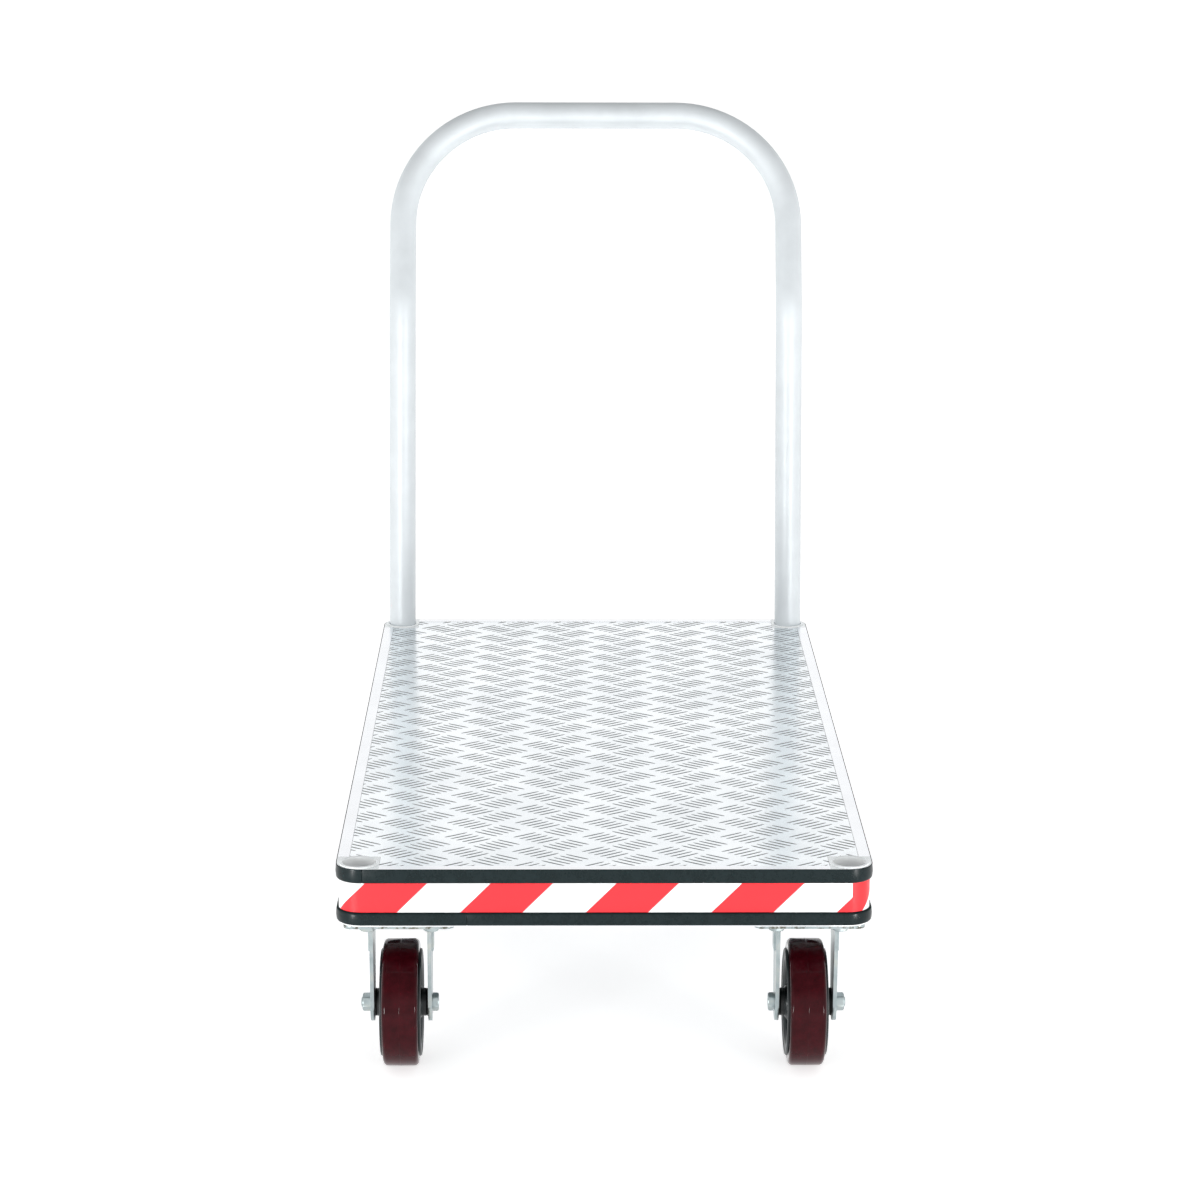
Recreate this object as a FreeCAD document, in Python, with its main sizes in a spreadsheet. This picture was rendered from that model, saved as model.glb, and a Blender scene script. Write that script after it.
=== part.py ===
import FreeCAD, Part
import math
import os

import Sketcher

# A flatbed platform truck: an aluminium deck frame with a tread plate, two rigid casters at the
# front, two swivel casters at the rear, and a bent tube handle that drops into the rear sockets.
# Axes: +X to the right, +Y to the rear (the handle end), +Z up. The floor is at Z = 0, and the
# origin lies under the middle of the whole truck, handle included.

Vector = FreeCAD.Vector
Rotation = FreeCAD.Rotation

SIZES = {
    # deck
    "deck_length": 1220,
    "deck_width": 620,
    "deck_height": 261,
    "frame_depth": 69.5,
    "corner_radius": 30,
    # rail section, measured inwards from the bumper's outer face
    "lip_inset": 1.5,
    "web_inset": 3.5,
    "border_inset": 15,
    "ledge_inset": 25,
    "flange_inset": 46,
    "web_thickness": 3.5,
    "flange_thickness": 3,
    "ledge_thickness": 2.5,
    # bumpers: a strip with a rib pressed into a groove of the rail
    "bumper_height": 15.7,
    "bumper_edge": 3.2,
    "groove_height": 7,
    "groove_depth": 2.5,
    "groove_backing": 1.5,
    "rib_play": 0.2,
    "seam_width": 0.5,
    "seam_reach": 12,
    "upper_seam_inset": 32,
    "lower_seam_inset": 152,
    "tape_thickness": 0.3,
    # tread plate
    "plate_thickness": 2.5,
    "plate_recess": 0.5,
    "plate_play": 0.25,
    # corner castings
    "casting_size": 51,
    "socket_inset": 27.5,
    "socket_bore": 39,
    "socket_depth": 52,
    "rim_diameter": 46.5,
    "rim_height": 1.5,
    "rim_edge": 1,
    "tongue_length": 30,
    "tongue_near": 12,
    "tongue_far": 38,
    "tongue_drop": 8,
    "tap_depth": 14,
    # cross members
    "member_width": 30,
    "member_wall": 2.5,
    "member_end": 26,
    "member_pitch": 298,
    "member_play": 0.5,
    # fasteners
    "rivet_diameter": 6,
    "rivet_length": 8,
    "rivet_first": 10,
    "rivet_pitch": 12,
    "caster_bolt": 10,
    "caster_bolt_hole": 10.5,
    "caster_bolt_flats": 17,
    "caster_bolt_head": 6,
    "caster_bolt_length": 20,
    "caster_washer": 2,
    "caster_washer_diameter": 18,
    "caster_nut": 8,
    "axle_bolt": 12,
    "axle_flats": 19,
    "axle_head": 7.5,
    "axle_nut": 10,
    "axle_end": 1.5,
    # casters
    "caster_inset_x": 73,
    "caster_inset_y": 75,
    "caster_plate_x": 128,
    "caster_plate_y": 132,
    "caster_plate_thickness": 5,
    "caster_plate_corner": 10,
    "caster_hole_x": 37,
    "caster_hole_y": 44,
    "fork_gap": 63,
    "fork_thickness": 4.5,
    "fork_top": 33,
    "fork_end": 22,
    "fork_rib": 2.3,
    "fork_rib_height": 45,
    "fork_rib_width": 22,
    "swivel_trail": 42,
    "swivel_front": 34,
    "swivel_back": 20,
    "race_radius": 30,
    "race_width": 12,
    "race_height": 4,
    "ball_diameter": 6,
    "ball_drop": 6.3,
    "ball_play": 0.3,
    "crown_radius": 38,
    "crown_top": 8.5,
    "crown_thickness": 4.5,
    "kingpin": 12,
    "kingpin_play": 0.06,
    "kingpin_nut": 9,
    "kingpin_gap": 0.4,
    # wheels
    "wheel_diameter": 150,
    "tread_width": 42,
    "tread_bore": 114,
    "tread_shoulder": 5,
    "core_diameter": 126,
    "core_width": 48,
    "core_wall": 6,
    "core_slope": 4,
    "web_width": 14,
    "hub_diameter": 33,
    "hub_length": 60,
    "hub_root": 44,
    "bearing_diameter": 24,
    "sleeve_diameter": 15,
    "sleeve_play": 0.05,
    "bearing_length": 57,
    "seal_thickness": 0.9,
    # handle
    "tube_diameter": 38,
    "tube_wall": 2,
    "handle_foot_gap": 0.3,
    "handle_half_width": 278,
    "handle_straighten": 8,
    "handle_bend_height": 470,
    "handle_height": 733,
    "handle_setback": 107.5,
    "handle_settle_radius": 400,
    "handle_bend_radius": 100,
    "handle_corner_radius": 162,
}

BALL_COUNT = 18
HEX_CORNER = 2 / math.sqrt(3)
CHAMFER_START = 0.95
CHAMFER_SLOPE = math.sqrt(3)
TOLERANCE = 0.01
PAST_FACE = 2

doc = FreeCAD.newDocument("PlatformTruck")
sheet = doc.addObject("Spreadsheet::Sheet", "Dims")
for row, (name, number) in enumerate(SIZES.items(), start=1):
    sheet.set(f"A{row}", name)
    sheet.set(f"B{row}", str(number))
    sheet.setAlias(f"B{row}", name)
doc.recompute()


class Dim:
    """A size that carries its value and the sheet expression that gives it."""

    def __init__(self, value, text):
        self.value = float(value)
        self.text = text

    def join(self, other, sign, value):
        return Dim(value, f"({self.text} {sign} {text_of(other)})")

    def __add__(self, other):
        return self.join(other, "+", self.value + value_of(other))

    def __sub__(self, other):
        return self.join(other, "-", self.value - value_of(other))

    def __mul__(self, other):
        return self.join(other, "*", self.value * value_of(other))

    def __truediv__(self, other):
        return self.join(other, "/", self.value / value_of(other))

    def __neg__(self):
        return Dim(-self.value, f"(0 - {self.text})")


def value_of(size):
    return size.value if isinstance(size, Dim) else float(size)


def text_of(size):
    return size.text if isinstance(size, Dim) else repr(float(size))


class Sizes:
    """The sheet's cells as Dim values, by name."""

    def __getattr__(self, name):
        return Dim(sheet.get(name), f"Dims.{name}")


d = Sizes()

# Places that several pieces share
half_x = d.deck_width / 2
half_y = d.deck_length / 2
deck_y = (d.socket_inset - d.handle_setback - d.tube_diameter / 2) / 2
frame_bottom = d.deck_height - d.frame_depth
plate_bottom = frame_bottom - d.caster_plate_thickness
axle_height = d.wheel_diameter / 2
leg_outer = d.fork_gap / 2 + d.fork_thickness
caster_x = half_x - d.caster_inset_x
caster_y = half_y - d.caster_inset_y
groove_gap = (d.bumper_height - d.groove_height) / 2
upper_top = -d.lip_inset
lower_top = -d.frame_depth + d.lip_inset + d.bumper_height
plate_under = -(d.plate_recess + d.plate_thickness)


# Document helpers


def bind(thing, name, size):
    """Sets a property and ties it to the sheet."""
    setattr(thing, name, value_of(size))
    if isinstance(size, Dim):
        thing.setExpression(name, size.text)


def place(thing, x=0, y=0, z=0, spin=0, axis=Vector(0, 0, 1)):
    """Puts an object at a place tied to the sheet, turned by spin degrees about axis."""
    base = Vector(value_of(x), value_of(y), value_of(z))
    thing.Placement = FreeCAD.Placement(base, Rotation(axis, spin))
    for letter, size in zip("xyz", (x, y, z)):
        if isinstance(size, Dim):
            thing.setExpression(f"Placement.Base.{letter}", size.text)
    return thing


def new_body(label):
    body = doc.addObject("PartDesign::Body", label)
    body.Label = label
    return body


def origin_plane(body, role):
    return next(f for f in body.Origin.OriginFeatures if f.Role == role)


def new_sketch(body, role="XY_Plane", offset=0):
    sketch = body.newObject("Sketcher::SketchObject", f"{body.Label}_sketch")
    sketch.AttachmentSupport = [(origin_plane(body, role), "")]
    sketch.MapMode = "FlatFace"
    sketch.AttachmentOffset = FreeCAD.Placement(Vector(0, 0, value_of(offset)), Rotation())
    if isinstance(offset, Dim):
        sketch.setExpression("AttachmentOffset.Base.z", offset.text)
    return sketch


def tie_point(sketch, geometry, point, x, y):
    """Holds a point of a sketch at (x, y) from the sketch's origin."""
    for kind, size, axis in (("DistanceX", x, -2), ("DistanceY", y, -1)):
        if value_of(size) == 0:
            sketch.addConstraint(Sketcher.Constraint("PointOnObject", geometry, point, axis))
            continue
        ends = (-1, 1, geometry, point) if value_of(size) > 0 else (geometry, point, -1, 1)
        distance = size if value_of(size) > 0 else -size
        index = sketch.addConstraint(Sketcher.Constraint(kind, *ends, value_of(distance)))
        if isinstance(distance, Dim):
            sketch.setExpression(f"Constraints[{index}]", distance.text)


def circle(sketch, x, y, diameter):
    centre = Vector(value_of(x), value_of(y), 0)
    radius = value_of(diameter) / 2
    index = sketch.addGeometry(Part.Circle(centre, Vector(0, 0, 1), radius))
    tie_point(sketch, index, 3, x, y)
    size = sketch.addConstraint(Sketcher.Constraint("Diameter", index, value_of(diameter)))
    sketch.setExpression(f"Constraints[{size}]", text_of(diameter))


def outline(sketch, corners):
    """A closed outline through corners (x, y), or (x, y, radius) for a rounded right angle
    between two sides that lie along the sketch's axes."""
    at = [Vector(value_of(c[0]), value_of(c[1]), 0) for c in corners]
    radii = [value_of(c[2]) if len(c) > 2 else 0 for c in corners]
    count = len(corners)
    into = []
    for i in range(count):
        into.append((at[i] - at[i - 1]).normalize())
    away = [into[(i + 1) % count] for i in range(count)]
    sides = []
    for i in range(count):
        j = (i + 1) % count
        start = at[i] + away[i] * radii[i]
        end = at[j] - into[j] * radii[j]
        sides.append(sketch.addGeometry(Part.LineSegment(start, end)))
    for i, corner in enumerate(corners):
        before, after = sides[i - 1], sides[i]
        if not radii[i]:
            sketch.addConstraint(Sketcher.Constraint("Coincident", before, 2, after, 1))
            tie_point(sketch, after, 1, corner[0], corner[1])
            continue
        shift = away[i] - into[i]
        centre = at[i] + shift * radii[i]
        left_turn = into[i].cross(away[i]).z > 0
        first = at[i] - into[i] * radii[i] if left_turn else at[i] + away[i] * radii[i]
        start = math.atan2(first.y - centre.y, first.x - centre.x)
        ring = Part.Circle(centre, Vector(0, 0, 1), radii[i])
        arc = sketch.addGeometry(Part.ArcOfCircle(ring, start, start + math.pi / 2))
        entry, leave = (1, 2) if left_turn else (2, 1)
        sketch.addConstraint(Sketcher.Constraint("Tangent", before, 2, arc, entry))
        sketch.addConstraint(Sketcher.Constraint("Tangent", after, 1, arc, leave))
        size = sketch.addConstraint(Sketcher.Constraint("Radius", arc, radii[i]))
        sketch.setExpression(f"Constraints[{size}]", text_of(corner[2]))
        x = corner[0] + corner[2] * round(shift.x)
        y = corner[1] + corner[2] * round(shift.y)
        tie_point(sketch, arc, 3, x, y)


def rectangle(sketch, low_x, low_y, high_x, high_y):
    outline(sketch, [(low_x, low_y), (high_x, low_y), (high_x, high_y), (low_x, high_y)])


def rounded_frame(sketch, inset):
    """The deck's outline, moved inwards by inset."""
    x, y, r = half_x - inset, half_y - inset, d.corner_radius - inset
    outline(sketch, [(-x, -y, r), (x, -y, r), (x, y, r), (-x, y, r)])


def pad(body, sketch, length, symmetric=False, downwards=False):
    feature = body.newObject("PartDesign::Pad", f"{body.Label}_pad")
    feature.Profile = sketch
    bind(feature, "Length", length)
    feature.SideType = "Symmetric" if symmetric else "One side"
    feature.Reversed = downwards
    return feature


def pocket(body, sketch, length=None, symmetric=False, upwards=False):
    """Cuts a sketch out of a body, and checks that something was cut."""
    doc.recompute()
    before = body.Shape.Volume
    feature = body.newObject("PartDesign::Pocket", f"{body.Label}_pocket")
    feature.Profile = sketch
    if length is None:
        feature.Type = "ThroughAll"
    else:
        bind(feature, "Length", length)
    feature.SideType = "Symmetric" if symmetric else "One side"
    feature.Reversed = upwards
    doc.recompute()
    if not body.Shape.Volume < before:
        raise RuntimeError(f"a pocket of {body.Label} cuts nothing")
    return feature


def revolve(body, sketch, axis="H_Axis"):
    feature = body.newObject("PartDesign::Revolution", f"{body.Label}_revolution")
    feature.Profile = sketch
    feature.ReferenceAxis = (sketch, [axis])
    feature.Angle = 360
    return feature


def mirror(body, features, role="YZ_Plane"):
    feature = body.newObject("PartDesign::Mirrored", f"{body.Label}_mirror")
    feature.Originals = features
    feature.MirrorPlane = (origin_plane(body, role), [""])
    body.Tip = feature
    return feature


def fillet(body, radius, wanted):
    """Rounds the edges of a body that the test wanted picks."""
    doc.recompute()
    base = body.Tip
    names = [f"Edge{i}" for i, e in enumerate(base.Shape.Edges, start=1) if wanted(e)]
    feature = body.newObject("PartDesign::Fillet", f"{body.Label}_fillet")
    feature.Base = (base, names)
    bind(feature, "Radius", radius)
    return feature


# Deck frame

parts = []


def rail_section(sketch):
    """The rail's section: x runs inwards (negative) from the bumper's face, y down from the top.
    A lip and two grooves hold the bumpers, a ledge carries the tread plate, and a flange at the
    bottom carries the cross members and casters."""
    lip, web = -d.lip_inset, -d.web_inset
    back = web - d.groove_depth
    inner, thick = web - d.web_thickness, back - d.web_thickness
    upper_high = upper_top - groove_gap
    upper_low = upper_high - d.groove_height
    lower_high = lower_top - groove_gap
    lower_low = lower_high - d.groove_height
    ledge_low = plate_under - d.ledge_thickness
    flange_top = -d.frame_depth + d.flange_thickness
    outline(
        sketch,
        [
            (lip, 0),
            (-d.border_inset, 0),
            (-d.border_inset, plate_under),
            (-d.ledge_inset, plate_under),
            (-d.ledge_inset, ledge_low),
            (thick, ledge_low),
            (thick, upper_low - d.groove_backing),
            (inner, upper_low - d.groove_backing),
            (inner, lower_high + d.groove_backing),
            (thick, lower_high + d.groove_backing),
            (thick, flange_top),
            (-d.flange_inset, flange_top),
            (-d.flange_inset, -d.frame_depth),
            (web, -d.frame_depth),
            (web, lower_low),
            (back, lower_low),
            (back, lower_high),
            (web, lower_high),
            (web, upper_low),
            (back, upper_low),
            (back, upper_high),
            (web, upper_high),
            (web, -d.lip_inset),
            (lip, -d.lip_inset),
        ],
    )


def make_rail(label, length, bolt_inset, bolt_from_middle, x, y, spin):
    """A rail between two castings, with holes for its rivets and the caster bolts. It is drawn
    along Y with its outer side towards +X, and turned into place."""
    body = new_body(label)
    section = new_sketch(body, "XZ_Plane")
    rail_section(section)
    pad(body, section, length, symmetric=True)
    holes = new_sketch(body, "XY_Plane", -d.frame_depth)
    tongue_middle = (d.tongue_near + d.tongue_far) / 2
    for side in (-1, 1):
        circle(holes, -bolt_inset, bolt_from_middle * side, d.caster_bolt_hole)
        for step in range(2):
            from_end = d.rivet_first + d.rivet_pitch * step
            circle(holes, -tongue_middle, (length / 2 - from_end) * side, d.rivet_diameter)
    pocket(body, holes, d.flange_thickness, upwards=True)
    place(body, x, y, d.deck_height, spin)
    parts.append(body)


side_length = d.deck_length - d.casting_size * 2
end_length = d.deck_width - d.casting_size * 2
side_bolt_inset = d.caster_inset_x - d.caster_hole_x
end_bolt_inset = d.caster_inset_y - d.caster_hole_y
side_bolt_y = caster_y - d.caster_hole_y
end_bolt_x = caster_x - d.caster_hole_x
for label, x, y, spin in (
    ("side_rail_right", half_x, deck_y, 0),
    ("side_rail_left", -half_x, deck_y, 180),
):
    make_rail(label, side_length, side_bolt_inset, side_bolt_y, x, y, spin)
for label, x, y, spin in (
    ("rear_rail", 0, deck_y + half_y, 90),
    ("front_rail", 0, deck_y - half_y, 270),
):
    make_rail(label, end_length, end_bolt_inset, end_bolt_x, x, y, spin)


def corner_block(sketch, inset):
    """A square that ends at inset from the corner's two outer sides, rounded at the corner."""
    far = -d.casting_size
    outline(sketch, [(far, far), (-inset, far), (-inset, -inset, d.corner_radius - inset), (far, -inset)])


def make_casting(label, x_side, y_side, spin):
    """A corner casting, drawn for the rear right corner with its origin at the outer corner of
    the bumpers, level with the deck."""
    body = new_body(label)
    block = new_sketch(body)
    corner_block(block, d.web_inset)
    pad(body, block, d.frame_depth, downwards=True)
    lip = new_sketch(body)
    corner_block(lip, d.lip_inset)
    pad(body, lip, d.lip_inset, downwards=True)
    swapped = x_side * y_side < 0
    tongues = new_sketch(body, "XY_Plane", -d.tongue_drop)
    near, far = -d.tongue_near, -d.tongue_far
    start, end = -d.casting_size, -(d.casting_size + d.tongue_length)
    rectangle(tongues, far, end, near, start)
    rectangle(tongues, end, far, start, near)
    pad(body, tongues, d.frame_depth - d.flange_thickness - d.tongue_drop, downwards=True)
    rim = new_sketch(body)
    circle(rim, -d.socket_inset, -d.socket_inset, d.rim_diameter)
    pad(body, rim, d.rim_height)
    for top in (upper_top, lower_top):
        groove = new_sketch(body, "XY_Plane", top - groove_gap)
        far, inset = -d.casting_size, d.web_inset
        deep = inset + d.groove_depth
        outline(
            groove,
            [
                (far, -inset),
                (far, -deep),
                (-deep, -deep, d.corner_radius - deep),
                (-deep, far),
                (-inset, far),
                (-inset, -inset, d.corner_radius - inset),
            ],
        )
        pocket(body, groove, d.groove_height)
    socket = new_sketch(body, "XY_Plane", d.rim_height)
    circle(socket, -d.socket_inset, -d.socket_inset, d.socket_bore)
    pocket(body, socket, d.socket_depth + d.rim_height)
    bolt_x, bolt_y = side_bolt_inset, end_bolt_inset
    if swapped:
        bolt_x, bolt_y = end_bolt_inset, side_bolt_inset
    taps = new_sketch(body, "XY_Plane", -d.frame_depth)
    circle(taps, -bolt_x, -bolt_y, d.caster_bolt_hole)
    pocket(body, taps, d.tap_depth, upwards=True)
    rivets = new_sketch(body, "XY_Plane", -d.frame_depth + d.flange_thickness)
    middle = (d.tongue_near + d.tongue_far) / 2
    for step in range(2):
        along = d.casting_size + d.rivet_first + d.rivet_pitch * step
        circle(rivets, -middle, -along, d.rivet_diameter)
        circle(rivets, -along, -middle, d.rivet_diameter)
    pocket(body, rivets, d.rivet_length - d.flange_thickness, upwards=True)
    top = value_of(d.rim_height)
    rim_radius = value_of(d.rim_diameter) / 2
    bore_radius = value_of(d.socket_bore) / 2

    def on_rim(edge):
        curve = edge.Curve
        if not isinstance(curve, Part.Circle) or abs(edge.BoundBox.ZMax - top) > TOLERANCE:
            return False
        return min(abs(curve.Radius - rim_radius), abs(curve.Radius - bore_radius)) < TOLERANCE

    fillet(body, d.rim_edge, on_rim)
    place(body, half_x * x_side, deck_y + half_y * y_side, d.deck_height, spin)
    parts.append(body)


for label, x_side, y_side, spin in (
    ("corner_casting_rear_right", 1, 1, 0),
    ("corner_casting_rear_left", -1, 1, 90),
    ("corner_casting_front_left", -1, -1, 180),
    ("corner_casting_front_right", 1, -1, 270),
):
    make_casting(label, x_side, y_side, spin)


def make_cross_member(label, y, has_caster_holes):
    """A rectangular tube under the tread plate. Its ends are notched to lap the rails' flanges."""
    body = new_body(label)
    half_width, wall = d.member_width / 2, d.member_wall
    low, high = -d.frame_depth, plate_under
    section = new_sketch(body, "YZ_Plane")
    rectangle(section, -half_width, low, half_width, high)
    length = (half_x - d.member_end) * 2
    pad(body, section, length, symmetric=True)
    hollow = new_sketch(body, "YZ_Plane")
    rectangle(hollow, -half_width + wall, low + wall, half_width - wall, high - wall)
    pocket(body, hollow, length + PAST_FACE, symmetric=True)
    notches = new_sketch(body, "XZ_Plane")
    lap, end = half_x - d.flange_inset - d.member_play, half_x
    notch_low, notch_top = low - PAST_FACE, low + d.flange_thickness
    rectangle(notches, lap, notch_low, end, notch_top)
    rectangle(notches, -end, notch_low, -lap, notch_top)
    pocket(body, notches, d.member_width + PAST_FACE, symmetric=True)
    if has_caster_holes:
        holes = new_sketch(body, "XY_Plane", low)
        circle(holes, end_bolt_x, 0, d.caster_bolt_hole)
        circle(holes, -end_bolt_x, 0, d.caster_bolt_hole)
        pocket(body, holes, wall, upwards=True)
    place(body, 0, y, d.deck_height)
    parts.append(body)


for label, offset, has_caster_holes in (
    ("cross_member_front", -side_bolt_y, True),
    ("cross_member_middle_front", -(d.member_pitch / 2), False),
    ("cross_member_middle_rear", d.member_pitch / 2, False),
    ("cross_member_rear", side_bolt_y, True),
):
    make_cross_member(label, deck_y + offset, has_caster_holes)


def make_tread_plate():
    """The deck's plate, notched round the four castings and let in flush with the border."""
    body = new_body("tread_plate")
    sketch = new_sketch(body, "XY_Plane", -d.plate_recess)
    edge = d.border_inset + d.plate_play
    x, y = half_x - edge, half_y - edge
    notch_x = half_x - d.casting_size - d.plate_play
    notch_y = half_y - d.casting_size - d.plate_play
    outline(
        sketch,
        [
            (-notch_x, -y),
            (notch_x, -y),
            (notch_x, -notch_y),
            (x, -notch_y),
            (x, notch_y),
            (notch_x, notch_y),
            (notch_x, y),
            (-notch_x, y),
            (-notch_x, notch_y),
            (-x, notch_y),
            (-x, -notch_y),
            (-notch_x, -notch_y),
        ],
    )
    pad(body, sketch, d.plate_thickness, downwards=True)
    place(body, 0, deck_y, d.deck_height)
    parts.append(body)


make_tread_plate()


def make_bumper(label, top, seam_x):
    """A strip that runs round the deck and meets itself in one seam on the front. Its rib sits
    in the groove of the rails and castings, and its outer edges are rounded."""
    body = new_body(label)
    strip = new_sketch(body, "XY_Plane", top)
    rounded_frame(strip, Dim(0, "0"))
    rounded_frame(strip, d.web_inset)
    pad(body, strip, d.bumper_height, downwards=True)
    outer_x, outer_y = value_of(half_x), value_of(half_y)
    outer_radius = value_of(d.corner_radius)

    def on_outer_edge(edge):
        box = edge.BoundBox
        if box.ZLength > TOLERANCE:
            return False
        if isinstance(edge.Curve, Part.Circle):
            return abs(edge.Curve.Radius - outer_radius) < TOLERANCE
        reach_x = max(abs(box.XMin), abs(box.XMax))
        reach_y = max(abs(box.YMin), abs(box.YMax))
        flat_x = box.XLength < TOLERANCE and abs(reach_x - outer_x) < TOLERANCE
        flat_y = box.YLength < TOLERANCE and abs(reach_y - outer_y) < TOLERANCE
        return flat_x or flat_y

    fillet(body, d.bumper_edge, on_outer_edge)
    rib = new_sketch(body, "XY_Plane", top - groove_gap - d.rib_play)
    rounded_frame(rib, d.web_inset)
    rounded_frame(rib, d.web_inset + d.groove_depth - d.rib_play)
    pad(body, rib, d.groove_height - d.rib_play * 2, downwards=True)
    seam = new_sketch(body, "XY_Plane", top + PAST_FACE)
    half_seam, face = d.seam_width / 2, -half_y
    rectangle(seam, seam_x - half_seam, face - PAST_FACE, seam_x + half_seam, face + d.seam_reach)
    pocket(body, seam, d.bumper_height + PAST_FACE * 2)
    place(body, 0, deck_y, d.deck_height)
    parts.append(body)


make_bumper("upper_bumper", upper_top, -half_x + d.upper_seam_inset)
make_bumper("lower_bumper", lower_top, -half_x + d.lower_seam_inset)


def make_tape():
    """The reflective tape between the bumpers, stuck on the rails and castings all round."""
    body = new_body("reflective_tape")
    sketch = new_sketch(body, "XY_Plane", lower_top)
    rounded_frame(sketch, d.web_inset - d.tape_thickness)
    rounded_frame(sketch, d.web_inset)
    pad(body, sketch, upper_top - d.bumper_height - lower_top)
    place(body, 0, deck_y, d.deck_height)
    parts.append(body)


make_tape()


# Fasteners


def hexagon(name, flats, height):
    """A hexagonal head or nut on Z = 0, chamfered at its top."""
    prism = doc.addObject("Part::Prism", f"{name}_prism")
    bind(prism, "Circumradius", flats * (HEX_CORNER / 2))
    bind(prism, "Height", height)
    cone = doc.addObject("Part::Cone", f"{name}_cone")
    top = flats * (CHAMFER_START / 2)
    bind(cone, "Radius1", top + height * CHAMFER_SLOPE)
    bind(cone, "Radius2", top)
    bind(cone, "Height", height)
    common = doc.addObject("Part::Common", f"{name}_hexagon")
    common.Base = prism
    common.Tool = cone
    return common


def cylinder(name, diameter, height, bottom=0):
    thing = doc.addObject("Part::Cylinder", f"{name}_cylinder")
    bind(thing, "Radius", diameter / 2)
    bind(thing, "Height", height)
    return place(thing, z=bottom)


def hex_bolt(name, flats, head, diameter, length):
    """A bolt whose head stands on Z = 0 and whose shank hangs below it."""
    fuse = doc.addObject("Part::Fuse", f"{name}_bolt")
    fuse.Base = hexagon(name, flats, head)
    fuse.Tool = cylinder(name, diameter, length, -length)
    return fuse


def ring(name, diameter, bore, height):
    cut = doc.addObject("Part::Cut", f"{name}_ring")
    cut.Base = cylinder(name, diameter, height)
    cut.Tool = cylinder(name, bore, height)
    return cut


def hex_nut(name, flats, bore, height):
    cut = doc.addObject("Part::Cut", f"{name}_nut")
    cut.Base = hexagon(name, flats, height)
    cut.Tool = cylinder(name, bore, height)
    return cut


def group(label, members):
    compound = doc.addObject("Part::Compound", label)
    compound.Label = label
    compound.Links = members
    parts.append(compound)


CORNERS = [(x_side, y_side) for x_side in (-1, 1) for y_side in (-1, 1)]
DOWN = 180
X_AXIS = Vector(1, 0, 0)
Y_AXIS = Vector(0, 1, 0)

caster_holes = []
for x_side, y_side in CORNERS:
    for x_out in (-1, 1):
        for y_out in (-1, 1):
            x = (caster_x + d.caster_hole_x * x_out) * x_side
            y = deck_y + (caster_y + d.caster_hole_y * y_out) * y_side
            in_casting = x_out > 0 and y_out > 0
            caster_holes.append((x, y, in_casting))

bolts, washers, nuts = [], [], []
head_face = plate_bottom - d.caster_washer
for x, y, in_casting in caster_holes:
    bolt = hex_bolt(
        "caster_bolt", d.caster_bolt_flats, d.caster_bolt_head, d.caster_bolt, d.caster_bolt_length
    )
    bolts.append(place(bolt, x, y, head_face, DOWN, X_AXIS))
    washer = ring("caster_washer", d.caster_washer_diameter, d.caster_bolt, d.caster_washer)
    washers.append(place(washer, x, y, head_face))
    if not in_casting:
        nut = hex_nut("caster_nut", d.caster_bolt_flats, d.caster_bolt, d.caster_nut)
        nuts.append(place(nut, x, y, frame_bottom + d.flange_thickness))
group("caster_bolts", bolts)
group("caster_washers", washers)
group("caster_nuts", nuts)

rivets = []
for x_side, y_side in CORNERS:
    middle = (d.tongue_near + d.tongue_far) / 2
    for step in range(2):
        along = d.casting_size + d.rivet_first + d.rivet_pitch * step
        for inset_x, inset_y in ((middle, along), (along, middle)):
            rivet = cylinder("frame_rivet", d.rivet_diameter, d.rivet_length)
            x = (half_x - inset_x) * x_side
            y = deck_y + (half_y - inset_y) * y_side
            rivets.append(place(rivet, x, y, frame_bottom))
group("frame_rivets", rivets)


# Casters

RIGHT_AND_LEFT = (("right", 1), ("left", -1))
axle_drop = plate_bottom - axle_height


def caster_plate(body, z=0):
    """A caster's top plate, from the fork's top face at z up, with four bolt holes."""
    sketch = new_sketch(body, "XY_Plane", z)
    x, y, r = d.caster_plate_x / 2, d.caster_plate_y / 2, d.caster_plate_corner
    outline(sketch, [(-x, -y, r), (x, -y, r), (x, y, r), (-x, y, r)])
    for x_side, y_side in CORNERS:
        circle(sketch, d.caster_hole_x * x_side, d.caster_hole_y * y_side, d.caster_bolt_hole)
    pad(body, sketch, d.caster_plate_thickness)


def fork_legs(body, top, high_front, high_back, axle_y):
    """Two legs, drawn on the right side and mirrored. Each is a tapered strip with a round end
    about the axle and a pressed rib on its outer face."""
    inner = d.fork_gap / 2
    side = new_sketch(body, "YZ_Plane", inner)
    outline(
        side,
        [
            (high_front, top),
            (axle_y - d.fork_end, -axle_drop),
            (axle_y + d.fork_end, -axle_drop),
            (high_back, top),
        ],
    )
    end = new_sketch(body, "YZ_Plane", inner)
    circle(end, axle_y, -axle_drop, d.fork_end * 2)
    rib = new_sketch(body, "YZ_Plane", leg_outer)
    middle = (high_front + high_back) / 2
    half_rib = d.fork_rib_width / 2
    rectangle(rib, middle - half_rib, top - d.fork_rib_height, middle + half_rib, top)
    features = [
        pad(body, side, d.fork_thickness),
        pad(body, end, d.fork_thickness),
        pad(body, rib, d.fork_rib),
    ]
    doc.recompute()
    mirror(body, features)
    hole = new_sketch(body, "YZ_Plane")
    circle(hole, axle_y, -axle_drop, d.axle_bolt)
    pocket(body, hole, (leg_outer + PAST_FACE) * 2, symmetric=True)


def make_rigid_fork(label, side):
    body = new_body(label)
    caster_plate(body)
    fork_legs(body, Dim(0, "0"), -d.fork_top, d.fork_top, Dim(0, "0"))
    place(body, caster_x * side, deck_y - caster_y, plate_bottom)
    parts.append(body)


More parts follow.
